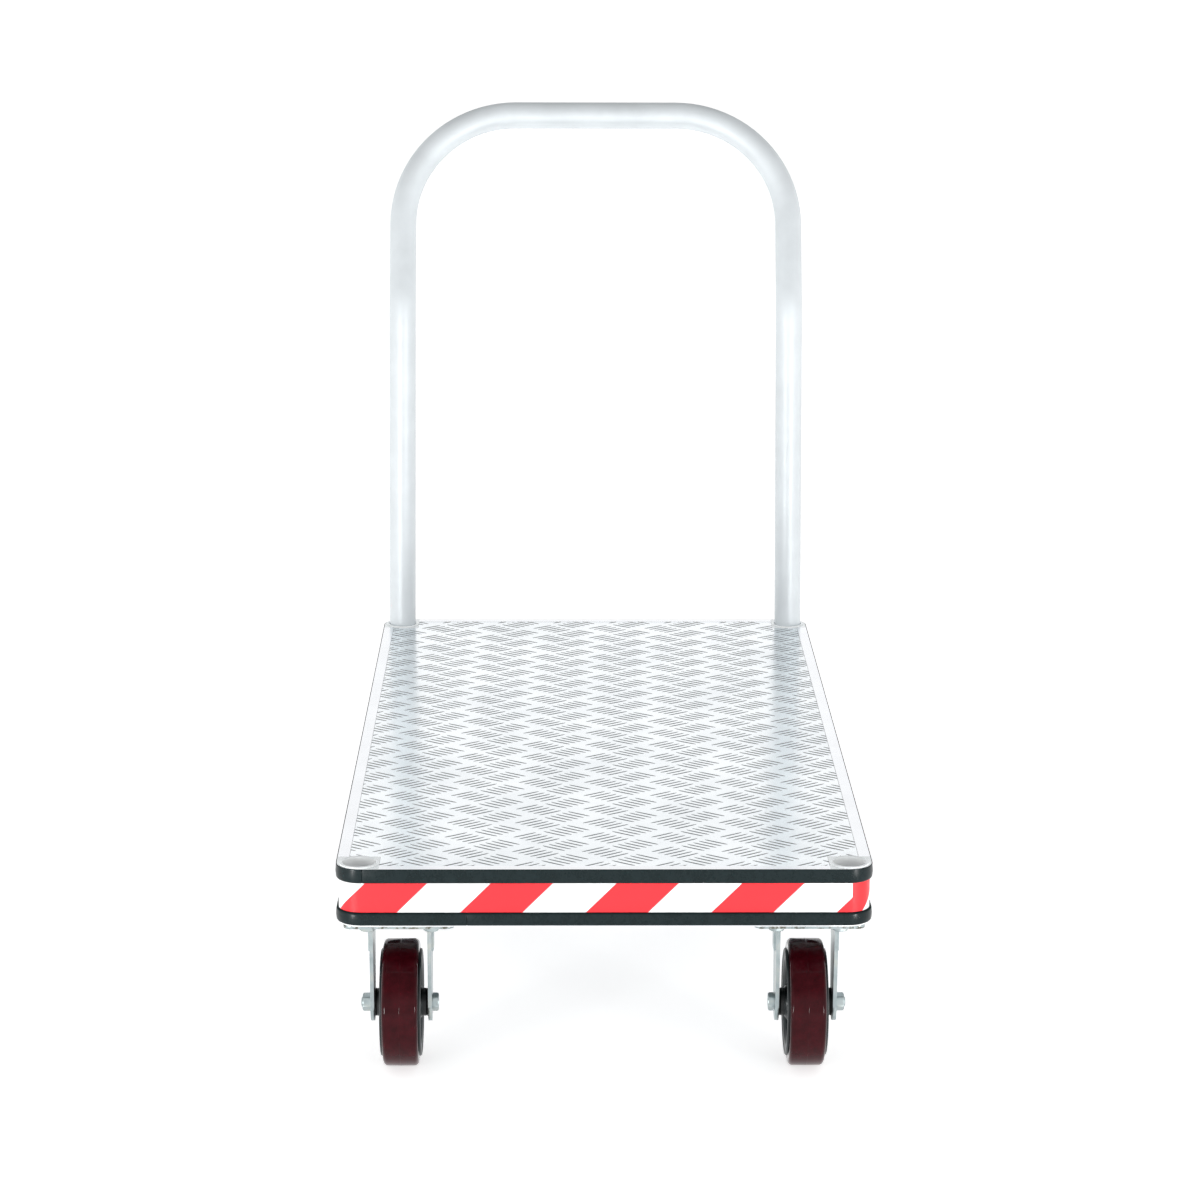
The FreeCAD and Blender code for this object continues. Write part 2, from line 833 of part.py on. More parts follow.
def make_swivel_top(label, side):
    """The fixed half of a swivel caster: the plate with its upper race and the kingpin's hole."""
    body = new_body(label)
    caster_plate(body)
    race = new_sketch(body)
    circle(race, 0, 0, d.race_radius * 2 + d.race_width)
    circle(race, 0, 0, d.race_radius * 2 - d.race_width)
    pad(body, race, d.race_height, downwards=True)
    doc.recompute()
    before = body.Shape.Volume
    groove = new_sketch(body, "XZ_Plane")
    circle(groove, d.race_radius, -d.ball_drop, d.ball_diameter + d.ball_play * 2)
    cut = body.newObject("PartDesign::Groove", f"{label}_groove")
    cut.Profile = groove
    cut.ReferenceAxis = (groove, ["V_Axis"])
    cut.Angle = 360
    doc.recompute()
    if not body.Shape.Volume < before:
        raise RuntimeError(f"the race of {label} cuts nothing")
    hole = new_sketch(body)
    circle(hole, 0, 0, d.kingpin)
    pocket(body, hole, d.caster_plate_thickness * 2, symmetric=True)
    place(body, caster_x * side, deck_y + caster_y, plate_bottom)
    parts.append(body)


def make_swivel_fork(label, side):
    """The turning half of a swivel caster: a crown with the lower race, and two raked legs."""
    body = new_body(label)
    crown = new_sketch(body, "XY_Plane", -d.crown_top)
    circle(crown, 0, 0, d.crown_radius * 2)
    pad(body, crown, d.crown_thickness, downwards=True)
    fork_legs(body, -d.crown_top, -d.swivel_front, d.swivel_back, -d.swivel_trail)
    groove = new_sketch(body, "XZ_Plane")
    circle(groove, d.race_radius, -d.ball_drop, d.ball_diameter)
    cut = body.newObject("PartDesign::Groove", f"{label}_groove")
    cut.Profile = groove
    cut.ReferenceAxis = (groove, ["V_Axis"])
    cut.Angle = 360
    hole = new_sketch(body, "XY_Plane", -d.crown_top)
    circle(hole, 0, 0, d.kingpin + d.kingpin_play * 2)
    pocket(body, hole, d.crown_thickness)
    place(body, caster_x * side, deck_y + caster_y, plate_bottom)
    parts.append(body)


def make_balls(label, side):
    balls = []
    for step in range(BALL_COUNT):
        angle = math.radians(360 / BALL_COUNT * step)
        ball = doc.addObject("Part::Sphere", "race_ball")
        bind(ball, "Radius", d.ball_diameter / 2)
        x = caster_x * side + d.race_radius * math.cos(angle)
        y = deck_y + caster_y + d.race_radius * math.sin(angle)
        balls.append(place(ball, x, y, plate_bottom - d.ball_drop))
    group(label, balls)


for name, side in RIGHT_AND_LEFT:
    make_rigid_fork(f"rigid_fork_{name}", side)
    make_swivel_top(f"swivel_top_plate_{name}", side)
    make_swivel_fork(f"swivel_fork_{name}", side)
    make_balls(f"swivel_balls_{name}", side)

kingpins, kingpin_nuts = [], []
nut_top = plate_bottom - d.crown_top - d.crown_thickness - d.kingpin_gap
pin_bottom = nut_top - d.kingpin_nut - d.axle_end
for _, side in RIGHT_AND_LEFT:
    pin = cylinder("kingpin", d.kingpin, frame_bottom - pin_bottom)
    kingpins.append(place(pin, caster_x * side, deck_y + caster_y, pin_bottom))
    nut = hex_nut("kingpin_nut", d.axle_flats, d.kingpin, d.kingpin_nut)
    kingpin_nuts.append(place(nut, caster_x * side, deck_y + caster_y, nut_top, DOWN, X_AXIS))
group("kingpins", kingpins)
group("kingpin_nuts", kingpin_nuts)


def axle_set(side, y):
    """Bolt, nut and sleeve of one axle. The bolt's head is on the truck's inner side."""
    x = caster_x * side
    grip = leg_outer * 2
    bolt_length = grip + d.axle_nut + d.axle_end
    inwards = -90 if side > 0 else 90
    bolt = hex_bolt("axle", d.axle_flats, d.axle_head, d.axle_bolt, bolt_length)
    place(bolt, x - leg_outer * side, y, axle_height, inwards, Y_AXIS)
    nut = hex_nut("axle", d.axle_flats, d.axle_bolt, d.axle_nut)
    place(nut, x + leg_outer * side, y, axle_height, -inwards, Y_AXIS)
    sleeve = ring("axle_sleeve", d.sleeve_diameter, d.axle_bolt, d.fork_gap)
    place(sleeve, x - d.fork_gap / 2, y, axle_height, 90, Y_AXIS)
    return bolt, nut, sleeve


front_axle_y = deck_y - caster_y
rear_axle_y = deck_y + caster_y - d.swivel_trail
front_sets = [axle_set(side, front_axle_y) for _, side in RIGHT_AND_LEFT]
for kind, members in zip(("bolts", "nuts", "sleeves"), zip(*front_sets)):
    group(f"front_axle_{kind}", list(members))
for name, side in RIGHT_AND_LEFT:
    for kind, member in zip(("bolt", "nut", "sleeve"), axle_set(side, rear_axle_y)):
        group(f"rear_axle_{kind}_{name}", [member])


# Wheels


def revolved(label, x, y, corners):
    """A ring turned about the axle from a section: x along the axle, y out from it."""
    body = new_body(label)
    sketch = new_sketch(body)
    outline(sketch, corners)
    revolve(body, sketch)
    place(body, x, y, axle_height)
    parts.append(body)
    return body


def make_wheel(name, side, y):
    x = caster_x * side
    half_tread, outer = d.tread_width / 2, d.wheel_diameter / 2
    shoulder, bore = d.tread_shoulder, d.tread_bore / 2
    revolved(
        f"wheel_tread_{name}",
        x,
        y,
        [
            (-half_tread, bore),
            (half_tread, bore),
            (half_tread, outer, shoulder),
            (-half_tread, outer, shoulder),
        ],
    )
    rim, half_core, half_web = d.core_diameter / 2, d.core_width / 2, d.web_width / 2
    rim_inner, half_hub = bore - d.core_wall, d.hub_length / 2
    hub, root, hole = d.hub_diameter / 2, d.hub_root / 2, d.bearing_diameter / 2
    revolved(
        f"wheel_core_{name}",
        x,
        y,
        [
            (-half_hub, hole),
            (half_hub, hole),
            (half_hub, hub),
            (half_core, hub),
            (half_web, root),
            (half_web, rim_inner - d.core_slope),
            (half_core, rim_inner),
            (half_core, rim),
            (half_tread, rim),
            (half_tread, bore),
            (-half_tread, bore),
            (-half_tread, rim),
            (-half_core, rim),
            (-half_core, rim_inner),
            (-half_web, rim_inner - d.core_slope),
            (-half_web, root),
            (-half_core, hub),
            (-half_hub, hub),
        ],
    )
    bearing_bore = d.sleeve_diameter / 2 + d.sleeve_play
    half_bearing = d.bearing_length / 2
    revolved(
        f"wheel_bearing_{name}",
        x,
        y,
        [
            (-half_bearing, bearing_bore),
            (half_bearing, bearing_bore),
            (half_bearing, hole),
            (-half_bearing, hole),
        ],
    )
    seals = []
    for out in (-1, 1):
        seal = ring("seal", d.hub_diameter, d.sleeve_diameter + d.sleeve_play * 2, d.seal_thickness)
        start = half_hub if out > 0 else -half_hub - d.seal_thickness
        seals.append(place(seal, x + start, y, axle_height, 90, Y_AXIS))
    group(f"hub_seals_{name}", seals)


for name, side in RIGHT_AND_LEFT:
    make_wheel(f"front_{name}", side, front_axle_y)
    make_wheel(f"rear_{name}", side, rear_axle_y)


# Handle


def rounded_path(points, radii):
    """A wire of straight runs joined by tangent arcs; radii belong to the inner points."""
    edges = []
    start = points[0]
    for before, corner, after, radius in zip(points, points[1:], points[2:], radii):
        back = (before - corner).normalize()
        ahead = (after - corner).normalize()
        half_turn = (math.pi - back.getAngle(ahead)) / 2
        reach = radius * math.tan(half_turn)
        arc_start, arc_end = corner + back * reach, corner + ahead * reach
        middle_line = (back + ahead).normalize()
        to_centre = radius / math.cos(half_turn)
        arc_middle = corner + middle_line * (to_centre - radius)
        edges.append(Part.makeLine(start, arc_start))
        edges.append(Part.Arc(arc_start, arc_middle, arc_end).toShape())
        start = arc_end
    edges.append(Part.makeLine(start, points[-1]))
    return Part.Wire(edges)


def swept_rod(path, diameter):
    """A solid round rod along a path that starts upwards."""
    start = path.Edges[0].firstVertex().Point
    section = Part.Wire(Part.makeCircle(diameter / 2, start, Vector(0, 0, 1)))
    return path.makePipeShell([section], True, True)


def make_handle():
    """One bent tube. Each leg stands upright in its socket, leans in slightly to the bend,
    leans back above it, and turns into the top bar."""
    socket_x = value_of(half_x - d.socket_inset)
    top_x = value_of(d.handle_half_width)
    foot = value_of(-d.socket_depth + d.handle_foot_gap)
    setback, height = value_of(d.handle_setback), value_of(d.handle_height)
    leg = [
        Vector(-socket_x, 0, foot),
        Vector(-socket_x, 0, value_of(d.handle_straighten)),
        Vector(-top_x, 0, value_of(d.handle_bend_height)),
        Vector(-top_x, setback, height),
    ]
    leg_radii = [
        value_of(d.handle_settle_radius),
        value_of(d.handle_bend_radius),
        value_of(d.handle_corner_radius),
    ]
    points = leg + [Vector(-p.x, p.y, p.z) for p in reversed(leg)]
    path = rounded_path(points, leg_radii + leg_radii[::-1])
    diameter, wall = value_of(d.tube_diameter), value_of(d.tube_wall)
    tube = doc.addObject("Part::Feature", "handle_tube")
    tube.Label = "handle_tube"
    tube.Shape = swept_rod(path, diameter).cut(swept_rod(path, diameter - wall * 2))
    place(tube, 0, deck_y + half_y - d.socket_inset, d.deck_height)
    parts.append(tube)


make_handle()

# Checks and export

doc.recompute()
for thing in doc.Objects:
    if "Invalid" in thing.State or "Error" in thing.State:
        raise RuntimeError(f"{thing.Label} failed: {thing.State}")
for part in parts:
    if part.Shape.isNull() or not part.Shape.isValid():
        raise RuntimeError(f"{part.Label} has no valid shape")

os.makedirs("parts", exist_ok=True)
for part in parts:
    part.Shape.exportStep(f"parts/{part.Label}.step")
print(f"{len(parts)} nodes written")
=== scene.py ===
import math

import bmesh
import bpy
from mathutils import Euler, Matrix, Quaternion, Vector


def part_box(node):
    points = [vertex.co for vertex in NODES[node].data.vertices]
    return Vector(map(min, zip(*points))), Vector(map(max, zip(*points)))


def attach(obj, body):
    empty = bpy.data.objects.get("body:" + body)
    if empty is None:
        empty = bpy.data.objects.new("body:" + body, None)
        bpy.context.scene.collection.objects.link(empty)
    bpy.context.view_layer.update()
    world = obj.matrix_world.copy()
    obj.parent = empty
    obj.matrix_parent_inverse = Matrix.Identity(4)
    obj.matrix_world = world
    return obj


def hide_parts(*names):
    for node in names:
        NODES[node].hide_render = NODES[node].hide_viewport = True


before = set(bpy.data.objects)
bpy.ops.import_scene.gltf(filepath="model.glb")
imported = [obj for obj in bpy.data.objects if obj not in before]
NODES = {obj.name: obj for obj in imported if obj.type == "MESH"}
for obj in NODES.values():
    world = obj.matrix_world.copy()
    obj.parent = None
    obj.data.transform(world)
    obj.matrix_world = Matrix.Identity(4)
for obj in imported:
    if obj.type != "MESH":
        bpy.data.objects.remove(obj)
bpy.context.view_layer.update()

# The looks of a flatbed platform truck, in metres: deck with tread bars, bumpers, striped tape,
# bent tube handle, casters. +X right, +Y towards the handle, +Z up, the floor at Z = 0.

MM = 0.001


def box_middle(node):
    low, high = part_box(node)
    return (low + high) / 2


def box_size(node):
    low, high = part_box(node)
    return high - low


DECK = box_middle("upper_bumper")
DECK_HALF = box_size("upper_bumper") / 2
BORDER_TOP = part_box("side_rail_left")[1].z
PLATE_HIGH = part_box("tread_plate")[1]
CASTING_INNER_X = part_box("front_rail")[1].x
CASTING_INNER_Y = box_size("side_rail_left").y / 2
CORNER_RADIUS = 30 * MM
CASTER_PLATE = 5 * MM
CASTER_PLATE_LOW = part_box("rigid_fork_left")[1].z - CASTER_PLATE
WHEELS = ("front_left", "front_right", "rear_left", "rear_right")


# Camera, lights and floor

CAMERA_FROM_DECK = Vector((-0.0494, -4.5147, 1.239))
CAMERA_PITCH, CAMERA_YAW, CAMERA_ROLL = 13.282, 0.634, 0.16
FOCAL_WIDTHS = 2.9745
SENSOR = 36.0
FAR_CLIP = 50
FLOOR_HALF = 30
MAIN_LIGHT_SIZE = (0.5, 0.9)
LOW_LIGHT_SIZE = (0.16, 0.24)
LIGHT_WATTS = (("left", -1, 28, 9.0), ("right", 1, 25, 8.0))
SKY = ((0.0, 1.08), (0.32, 1.08), (0.62, 0.42), (1.0, 0.36))


def make_camera():
    """A long lens in front of the truck and above its handle, looking slightly down."""
    data = bpy.data.cameras.new("camera")
    data.sensor_width = SENSOR
    data.lens = FOCAL_WIDTHS * SENSOR
    data.clip_end = FAR_CLIP
    camera = bpy.data.objects.new("camera", data)
    camera.location = Vector((DECK.x, DECK.y, BORDER_TOP)) + CAMERA_FROM_DECK
    turn = Euler((math.radians(90 - CAMERA_PITCH), 0, math.radians(-CAMERA_YAW)))
    roll = Matrix.Rotation(math.radians(CAMERA_ROLL), 4, "Z")
    camera.rotation_euler = (turn.to_matrix().to_4x4() @ roll).to_euler()
    bpy.context.scene.collection.objects.link(camera)
    bpy.context.scene.camera = camera


def make_floor():
    mesh = bpy.data.meshes.new("floor")
    built = bmesh.new()
    bmesh.ops.create_grid(built, x_segments=1, y_segments=1, size=FLOOR_HALF)
    built.to_mesh(mesh)
    built.free()
    floor = bpy.data.objects.new("floor", mesh)
    bpy.context.scene.collection.objects.link(floor)
    floor.data.materials.append(floor_paint())


def make_light(name, place, target, size, watts):
    data = bpy.data.lights.new(name, "AREA")
    data.shape = "RECTANGLE"
    data.size, data.size_y = size
    data.energy = watts
    light = bpy.data.objects.new(name, data)
    light.location = place
    light.rotation_euler = (Vector(target) - Vector(place)).to_track_quat("-Z", "Y").to_euler()
    bpy.context.scene.collection.objects.link(light)
    return light


def make_lights():
    """Two soft main lights, kept out of reflections, and two small low ones that put glints on the
    wheels."""
    for name, side, main_watts, low_watts in LIGHT_WATTS:
        place, target = (2.5 * side, -3.4, 0.65), (0, -0.3, 0.35)
        main = make_light(f"main_{name}", place, target, MAIN_LIGHT_SIZE, main_watts)
        main.visible_glossy = False
        place, target = (1.15 * side, -1.8, 0.09), (0.24 * side, -0.6, 0.09)
        low = make_light(f"low_{name}", place, target, LOW_LIGHT_SIZE, low_watts)
        low.visible_camera = False


def make_world():
    """A studio that is bright round its walls and darker overhead."""
    world = bpy.data.worlds.new("studio")
    world.use_nodes = True
    tree = world.node_tree
    back = tree.nodes["Background"]
    coordinate = tree.nodes.new("ShaderNodeTexCoord")
    split = tree.nodes.new("ShaderNodeSeparateXYZ")
    ramp = tree.nodes.new("ShaderNodeValToRGB")
    tree.links.new(coordinate.outputs["Generated"], split.inputs[0])
    tree.links.new(split.outputs["Z"], ramp.inputs[0])
    elements = ramp.color_ramp.elements
    while len(elements) < len(SKY):
        elements.new(0.5)
    for element, (position, level) in zip(elements, SKY):
        element.position = position
        element.color = (level, level, level, 1)
    tree.links.new(ramp.outputs["Color"], back.inputs["Color"])
    bpy.context.scene.world = world


# Materials


class Shader:
    """A material on the Principled shader, with short calls for its nodes."""

    def __init__(self, name, metallic=0.0, roughness=0.5, **sockets):
        self.material = bpy.data.materials.new(name)
        self.material.use_nodes = True
        self.tree = self.material.node_tree
        self.bsdf = self.tree.nodes["Principled BSDF"]
        self.bsdf.inputs["Metallic"].default_value = metallic
        self.bsdf.inputs["Roughness"].default_value = roughness
        for socket, value in sockets.items():
            self.bsdf.inputs[socket.replace("_", " ")].default_value = value

    def add(self, kind, inputs=None, **settings):
        node = self.tree.nodes.new(f"ShaderNode{kind}")
        for name, value in settings.items():
            setattr(node, name, value)
        for name, value in (inputs or {}).items():
            self.set(node.inputs[name], value)
        return node

    def set(self, socket, value):
        if isinstance(value, bpy.types.NodeSocket):
            self.tree.links.new(value, socket)
        else:
            socket.default_value = value

    def place(self, scale):
        """Coordinates in metres, stretched by scale."""
        coordinate = self.add("TexCoord")
        mapping = self.add("Mapping", {"Vector": coordinate.outputs["Object"], "Scale": scale})
        return mapping.outputs["Vector"]

    def noise(self, size, detail, rough, stretch=(1, 1, 1)):
        """Noise whose features are about size metres across."""
        inputs = {"Vector": self.place(stretch), "Scale": 1 / size}
        node = self.add("TexNoise", {**inputs, "Detail": detail, "Roughness": rough})
        return node.outputs["Fac"]

    def ramp(self, value, *stops):
        """Maps a value to colours or greys at the given positions."""
        node = self.add("ValToRGB", {"Fac": value})
        elements = node.color_ramp.elements
        while len(elements) < len(stops):
            elements.new(0.5)
        for element, (position, colour) in zip(elements, stops):
            element.position = position
            grey = isinstance(colour, (int, float))
            element.color = (colour, colour, colour, 1) if grey else (*colour, 1)
        return node.outputs["Color"]

    def span(self, value, low, high, from_low=0.0, from_high=1.0):
        """Maps a value from one range to another."""
        inputs = {"Value": value, "From Min": from_low, "From Max": from_high}
        node = self.add("MapRange", {**inputs, "To Min": low, "To Max": high})
        return node.outputs["Result"]

    def math(self, operation, a, b=0.0):
        node = self.add("Math", operation=operation)
        for socket, value in zip(node.inputs, (a, b)):
            self.set(socket, value)
        return node.outputs["Value"]

    def mix(self, factor, a, b, blend="MIX"):
        node = self.add("Mix", data_type="RGBA", blend_type=blend)
        for index, value in ((0, factor), (6, a), (7, b)):
            if isinstance(value, tuple) and len(value) == 3:
                value = (*value, 1)
            self.set(node.inputs[index], value)
        return node.outputs[2]

    def bump(self, height, distance, strength, normal=None):
        inputs = {"Height": height, "Distance": distance, "Strength": strength}
        if normal is not None:
            inputs["Normal"] = normal
        node = self.add("Bump", inputs)
        return node.outputs["Normal"]

    def facing_up(self):
        """The upward part of the surface's direction."""
        geometry = self.add("NewGeometry")
        split = self.add("SeparateXYZ", {"Vector": geometry.outputs["Normal"]})
        return split.outputs["Z"]

    def edge_wear(self, radius):
        """1 near convex edges, 0 elsewhere."""
        bevel = self.add("Bevel", {"Radius": radius}, samples=4)
        geometry = self.add("NewGeometry")
        dot = self.add("VectorMath", operation="DOT_PRODUCT")
        self.tree.links.new(bevel.outputs["Normal"], dot.inputs[0])
        self.tree.links.new(geometry.outputs["Normal"], dot.inputs[1])
        return self.math("SUBTRACT", 1.0, dot.outputs["Value"])

    def use(self, colour=None, roughness=None, metallic=None, normal=None):
        for name, value in (
            ("Base Color", colour),
            ("Roughness", roughness),
            ("Metallic", metallic),
            ("Normal", normal),
        ):
            if value is not None:
                self.set(self.bsdf.inputs[name], value)
        return self.material


def brushed_aluminium(name, tone, stretch, grain, rough, cloud=0.08, metallic=1.0):
    """Drawn or rolled aluminium: fine lines along one direction and soft cloudy patches."""
    shader = Shader(name, metallic=metallic)
    lines = shader.noise(grain, 3, 0.6, stretch)
    patches = shader.noise(cloud, 3, 0.55)
    dark = tuple(c * 0.93 for c in tone)
    colour = shader.ramp(patches, (0.35, dark), (0.65, tone))
    colour = shader.mix(shader.span(lines, 0.0, 0.08), colour, tuple(c * 0.8 for c in tone))
    rough_lines = shader.span(lines, rough[0], rough[1])
    rough_all = shader.math("ADD", rough_lines, shader.span(patches, -0.04, 0.04))
    return shader.use(colour, rough_all, normal=shader.bump(lines, 0.00001, 0.4))


def tread_aluminium():
    """Bright rolled plate: long faint rolling lines, dull spots, and painted shade on the bars'
    flanks.
    """
    shader = Shader("tread_plate_aluminium", metallic=1.0)
    tone = (0.905, 0.94, 0.965)
    lines = shader.noise(0.0012, 3, 0.6, (1, 0.06, 1))
    clouds = shader.noise(0.11, 4, 0.6)
    specks = shader.noise(0.0022, 2, 0.5)
    colour = shader.ramp(clouds, (0.3, (0.83, 0.87, 0.90)), (0.6, tone))
    colour = shader.mix(shader.ramp(specks, (0.66, 0.0), (0.74, 0.25)), colour, (0.55, 0.56, 0.58))
    # Painted shade: steep faces, most of all the bars' flanks, are darkened almost to black.
    flank_shade = shader.span(shader.facing_up(), 0.85, 0.0, 0.80, 0.97)
    colour = shader.mix(flank_shade, colour, (0.10, 0.115, 0.125))
    rough = shader.math("ADD", shader.span(lines, 0.12, 0.22), shader.span(clouds, 0.06, -0.05))
    normal = shader.bump(specks, 0.00003, 0.3, shader.bump(lines, 0.00001, 0.4))
    return shader.use(colour, rough, normal=normal)


def cast_aluminium():
    """Fine cast metal with small pits, machined on top, where it is more metallic; painted light makes
    its upright walls almost white.
    """
    shader = Shader("cast_aluminium")
    grains = shader.noise(0.0014, 5, 0.65)
    patches = shader.noise(0.016, 3, 0.5)
    colour = shader.ramp(patches, (0.3, (0.86, 0.90, 0.92)), (0.7, (0.93, 0.97, 0.98)))
    pits = shader.ramp(grains, (0.26, 0.5), (0.36, 0.0))
    colour = shader.mix(pits, colour, (0.42, 0.43, 0.45))
    rough = shader.math("ADD", shader.span(grains, 0.16, 0.32), shader.span(patches, 0.05, -0.04))
    facing = shader.facing_up()
    metallic = shader.span(facing, 0.0, 0.45, 0.3, 0.8)
    # Painted light: upright walls, such as the bores of the handle's sockets, are made almost white to
    # stand in for light inside them.
    wall_light = shader.span(facing, 0.8, 0.0, 0.2, 0.5)
    colour = shader.mix(wall_light, colour, (0.98, 0.99, 0.99))
    return shader.use(colour, rough, metallic, shader.bump(grains, 0.00012, 0.5))


def zinc_plate():
    """Bright zinc: bluish grey with faint yellowish clouds and fine spangle, painted shade in dark
    patches on the caster plates, and brighter along worn edges."""
    shader = Shader("bright_zinc", metallic=1.0)
    clouds = shader.noise(0.018, 4, 0.55)
    grain = shader.noise(0.0011, 3, 0.6)
    colour = shader.ramp(
        clouds, (0.32, (0.33, 0.39, 0.40)), (0.5, (0.42, 0.48, 0.49)), (0.68, (0.50, 0.53, 0.50))
    )
    split = shader.add("SeparateXYZ", {"Vector": shader.add("TexCoord").outputs["Object"]})
    near_plate = shader.span(split.outputs["Z"], 0.0, 1.0, CASTER_PLATE_LOW - 1 * MM, CASTER_PLATE_LOW)
    # Painted shade: dark patches on the zinc from the forks' tops upwards, on the caster plates.
    plate_shade = shader.ramp(shader.noise(0.009, 5, 0.7), (0.50, 0.0), (0.58, 0.85))
    colour = shader.mix(shader.math("MULTIPLY", near_plate, plate_shade), colour, (0.10, 0.095, 0.07))
    worn = shader.ramp(shader.edge_wear(0.0005), (0.02, 0.0), (0.2, 0.35))
    colour = shader.mix(worn, colour, (0.80, 0.82, 0.83))
    rough = shader.math("ADD", shader.span(grain, 0.24, 0.38), shader.span(clouds, -0.05, 0.06))
    return shader.use(colour, rough, normal=shader.bump(grain, 0.00005, 0.4))


def bumper_rubber():
    """Extruded black rubber: soft sheen, faint lengthwise die lines, dusty scuffs, dull on top."""
    shader = Shader("bumper_rubber", Specular_IOR_Level=0.24)
    fine = shader.noise(0.0007, 3, 0.6)
    scuffs = shader.noise(0.02, 5, 0.7)
    lines = shader.noise(0.0012, 2, 0.5, (0.02, 0.02, 1))
    colour = shader.ramp(scuffs, (0.35, (0.0015, 0.008, 0.009)), (0.75, (0.006, 0.015, 0.017)))
    rough = shader.math("ADD", shader.span(fine, 0.20, 0.30), shader.span(scuffs, -0.04, 0.10))
    rough = shader.math("MAXIMUM", rough, shader.span(shader.facing_up(), 0.2, 0.95, 0.3, 0.6))
    normal = shader.bump(fine, 0.00004, 0.4, shader.bump(lines, 0.00006, 0.4))
    return shader.use(colour, rough, normal=normal)


TAPE_PERIOD = 144.3 * MM
TAPE_PHASE = -21.4 * MM
TAPE_CELL = 1.4 * MM


def striped_tape():
    """Red and white diagonal stripes from the strip's own length and height, with the fine cell
    grid of reflective sheeting and slight soiling."""
    shader = Shader("reflective_tape", roughness=0.32, Specular_IOR_Level=0.3)
    split = shader.add("SeparateXYZ", {"Vector": shader.add("TexCoord").outputs["UV"]})
    along, up = split.outputs["X"], split.outputs["Y"]
    leaning = shader.math("SUBTRACT", along, up)
    turns = shader.math("DIVIDE", shader.math("SUBTRACT", leaning, TAPE_PHASE), TAPE_PERIOD)
    share = shader.math("FRACT", turns)
    red = shader.ramp(share, (0.0, 1.0), (0.001, 1.0), (0.4955, 1.0), (0.4975, 0.0))
    diagonal = shader.math("ADD", along, up)
    cells = []
    for run in (leaning, diagonal):
        wave = shader.math("PINGPONG", run, TAPE_CELL)
        cells.append(shader.span(wave, 0.0, 1.0, 0.0, 0.25 * MM))
    grid = shader.math("MULTIPLY", *cells)
    soil = shader.noise(0.03, 5, 0.65)
    red_tone = shader.mix(shader.span(soil, 0.0, 0.4), (0.90, 0.031, 0.041), (0.80, 0.025, 0.032))
    white_tone = shader.mix(shader.span(soil, 0.0, 0.3), (0.93, 0.93, 0.94), (0.80, 0.81, 0.83))
    colour = shader.mix(red, white_tone, red_tone)
    darker = shader.mix(1.0, colour, (0.93, 0.93, 0.93), "MULTIPLY")
    colour = shader.mix(grid, darker, colour)
    rough = shader.span(soil, 0.26, 0.44)
    return shader.use(colour, rough, normal=shader.bump(grid, 0.00002, 0.3))


def polyurethane():
    """Maroon moulded tread: deep gloss, faint mottling and a little tread dust."""
    shader = Shader("maroon_polyurethane", Specular_IOR_Level=0.12)
    shader.bsdf.inputs["Coat Weight"].default_value = 0.04
    shader.bsdf.inputs["Coat Roughness"].default_value = 0.07
    shader.bsdf.inputs["Subsurface Weight"].default_value = 0.05
    shader.bsdf.inputs["Subsurface Radius"].default_value = (0.004, 0.001, 0.001)
    clouds = shader.noise(0.012, 4, 0.6)
    dust = shader.noise(0.0016, 4, 0.7)
    colour = shader.ramp(clouds, (0.3, (0.021, 0.0008, 0.0022)), (0.7, (0.038, 0.0020, 0.0044)))
    dusty = shader.ramp(dust, (0.64, 0.0), (0.8, 0.08))
    colour = shader.mix(dusty, colour, (0.16, 0.11, 0.10))
    rough = shader.math("ADD", shader.span(dust, 0.05, 0.11), shader.span(clouds, -0.01, 0.02))
    return shader.use(colour, rough, normal=shader.bump(clouds, 0.00015, 0.25))


def core_plastic():
    """Black moulded wheel core with a fine spark-eroded grain."""
    shader = Shader("core_black", Specular_IOR_Level=0.5)
    grain = shader.noise(0.0009, 4, 0.65)
    clouds = shader.noise(0.02, 3, 0.6)
    colour = shader.ramp(clouds, (0.3, (0.005, 0.008, 0.009)), (0.7, (0.013, 0.020, 0.022)))
    worn = shader.ramp(shader.edge_wear(0.0007), (0.03, 0.0), (0.3, 0.4))
    colour = shader.mix(worn, colour, (0.06, 0.062, 0.066))
    rough = shader.math("ADD", shader.span(grain, 0.28, 0.46), shader.span(clouds, -0.05, 0.05))
    return shader.use(colour, rough, normal=shader.bump(grain, 0.00008, 0.5))


def bearing_steel():
    """Ground steel with fine uneven polish."""
    shader = Shader("bearing_steel", metallic=1.0)
    rings = shader.noise(0.0008, 3, 0.5)
    colour = shader.ramp(rings, (0.3, (0.42, 0.43, 0.44)), (0.7, (0.60, 0.61, 0.62)))
    return shader.use(colour, shader.span(rings, 0.2, 0.38), normal=shader.bump(rings, 0.00003, 0.4))


def seal_rubber():
    """Matte black rubber."""
    shader = Shader("seal_rubber")
    grain = shader.noise(0.0012, 4, 0.6)
    colour = shader.ramp(grain, (0.3, (0.010, 0.010, 0.011)), (0.7, (0.028, 0.028, 0.030)))
    return shader.use(colour, shader.span(grain, 0.45, 0.7), normal=shader.bump(grain, 0.00008, 0.4))


def lip_rubber():
    """The dull, dusty edge of the bumper against the deck."""
    shader = Shader("lip_rubber", roughness=0.9, Specular_IOR_Level=0.0)
    grain = shader.noise(0.002, 4, 0.6)
    colour = shader.ramp(grain, (0.3, (0.004, 0.006, 0.007)), (0.7, (0.016, 0.020, 0.022)))
    return shader.use(colour, shader.span(grain, 0.8, 1.0), normal=shader.bump(grain, 0.00004, 0.4))


def floor_paint():
    """Pale studio floor, lifted by a little light of its own."""
    shader = Shader("studio_floor", roughness=0.9, Emission_Color=(1, 1, 1, 1), Emission_Strength=0.60)
    grain = shader.noise(0.4, 3, 0.5)
    return shader.use(shader.ramp(grain, (0.3, (0.93, 0.93, 0.93)), (0.7, (0.95, 0.95, 0.95))))


# Mesh helpers


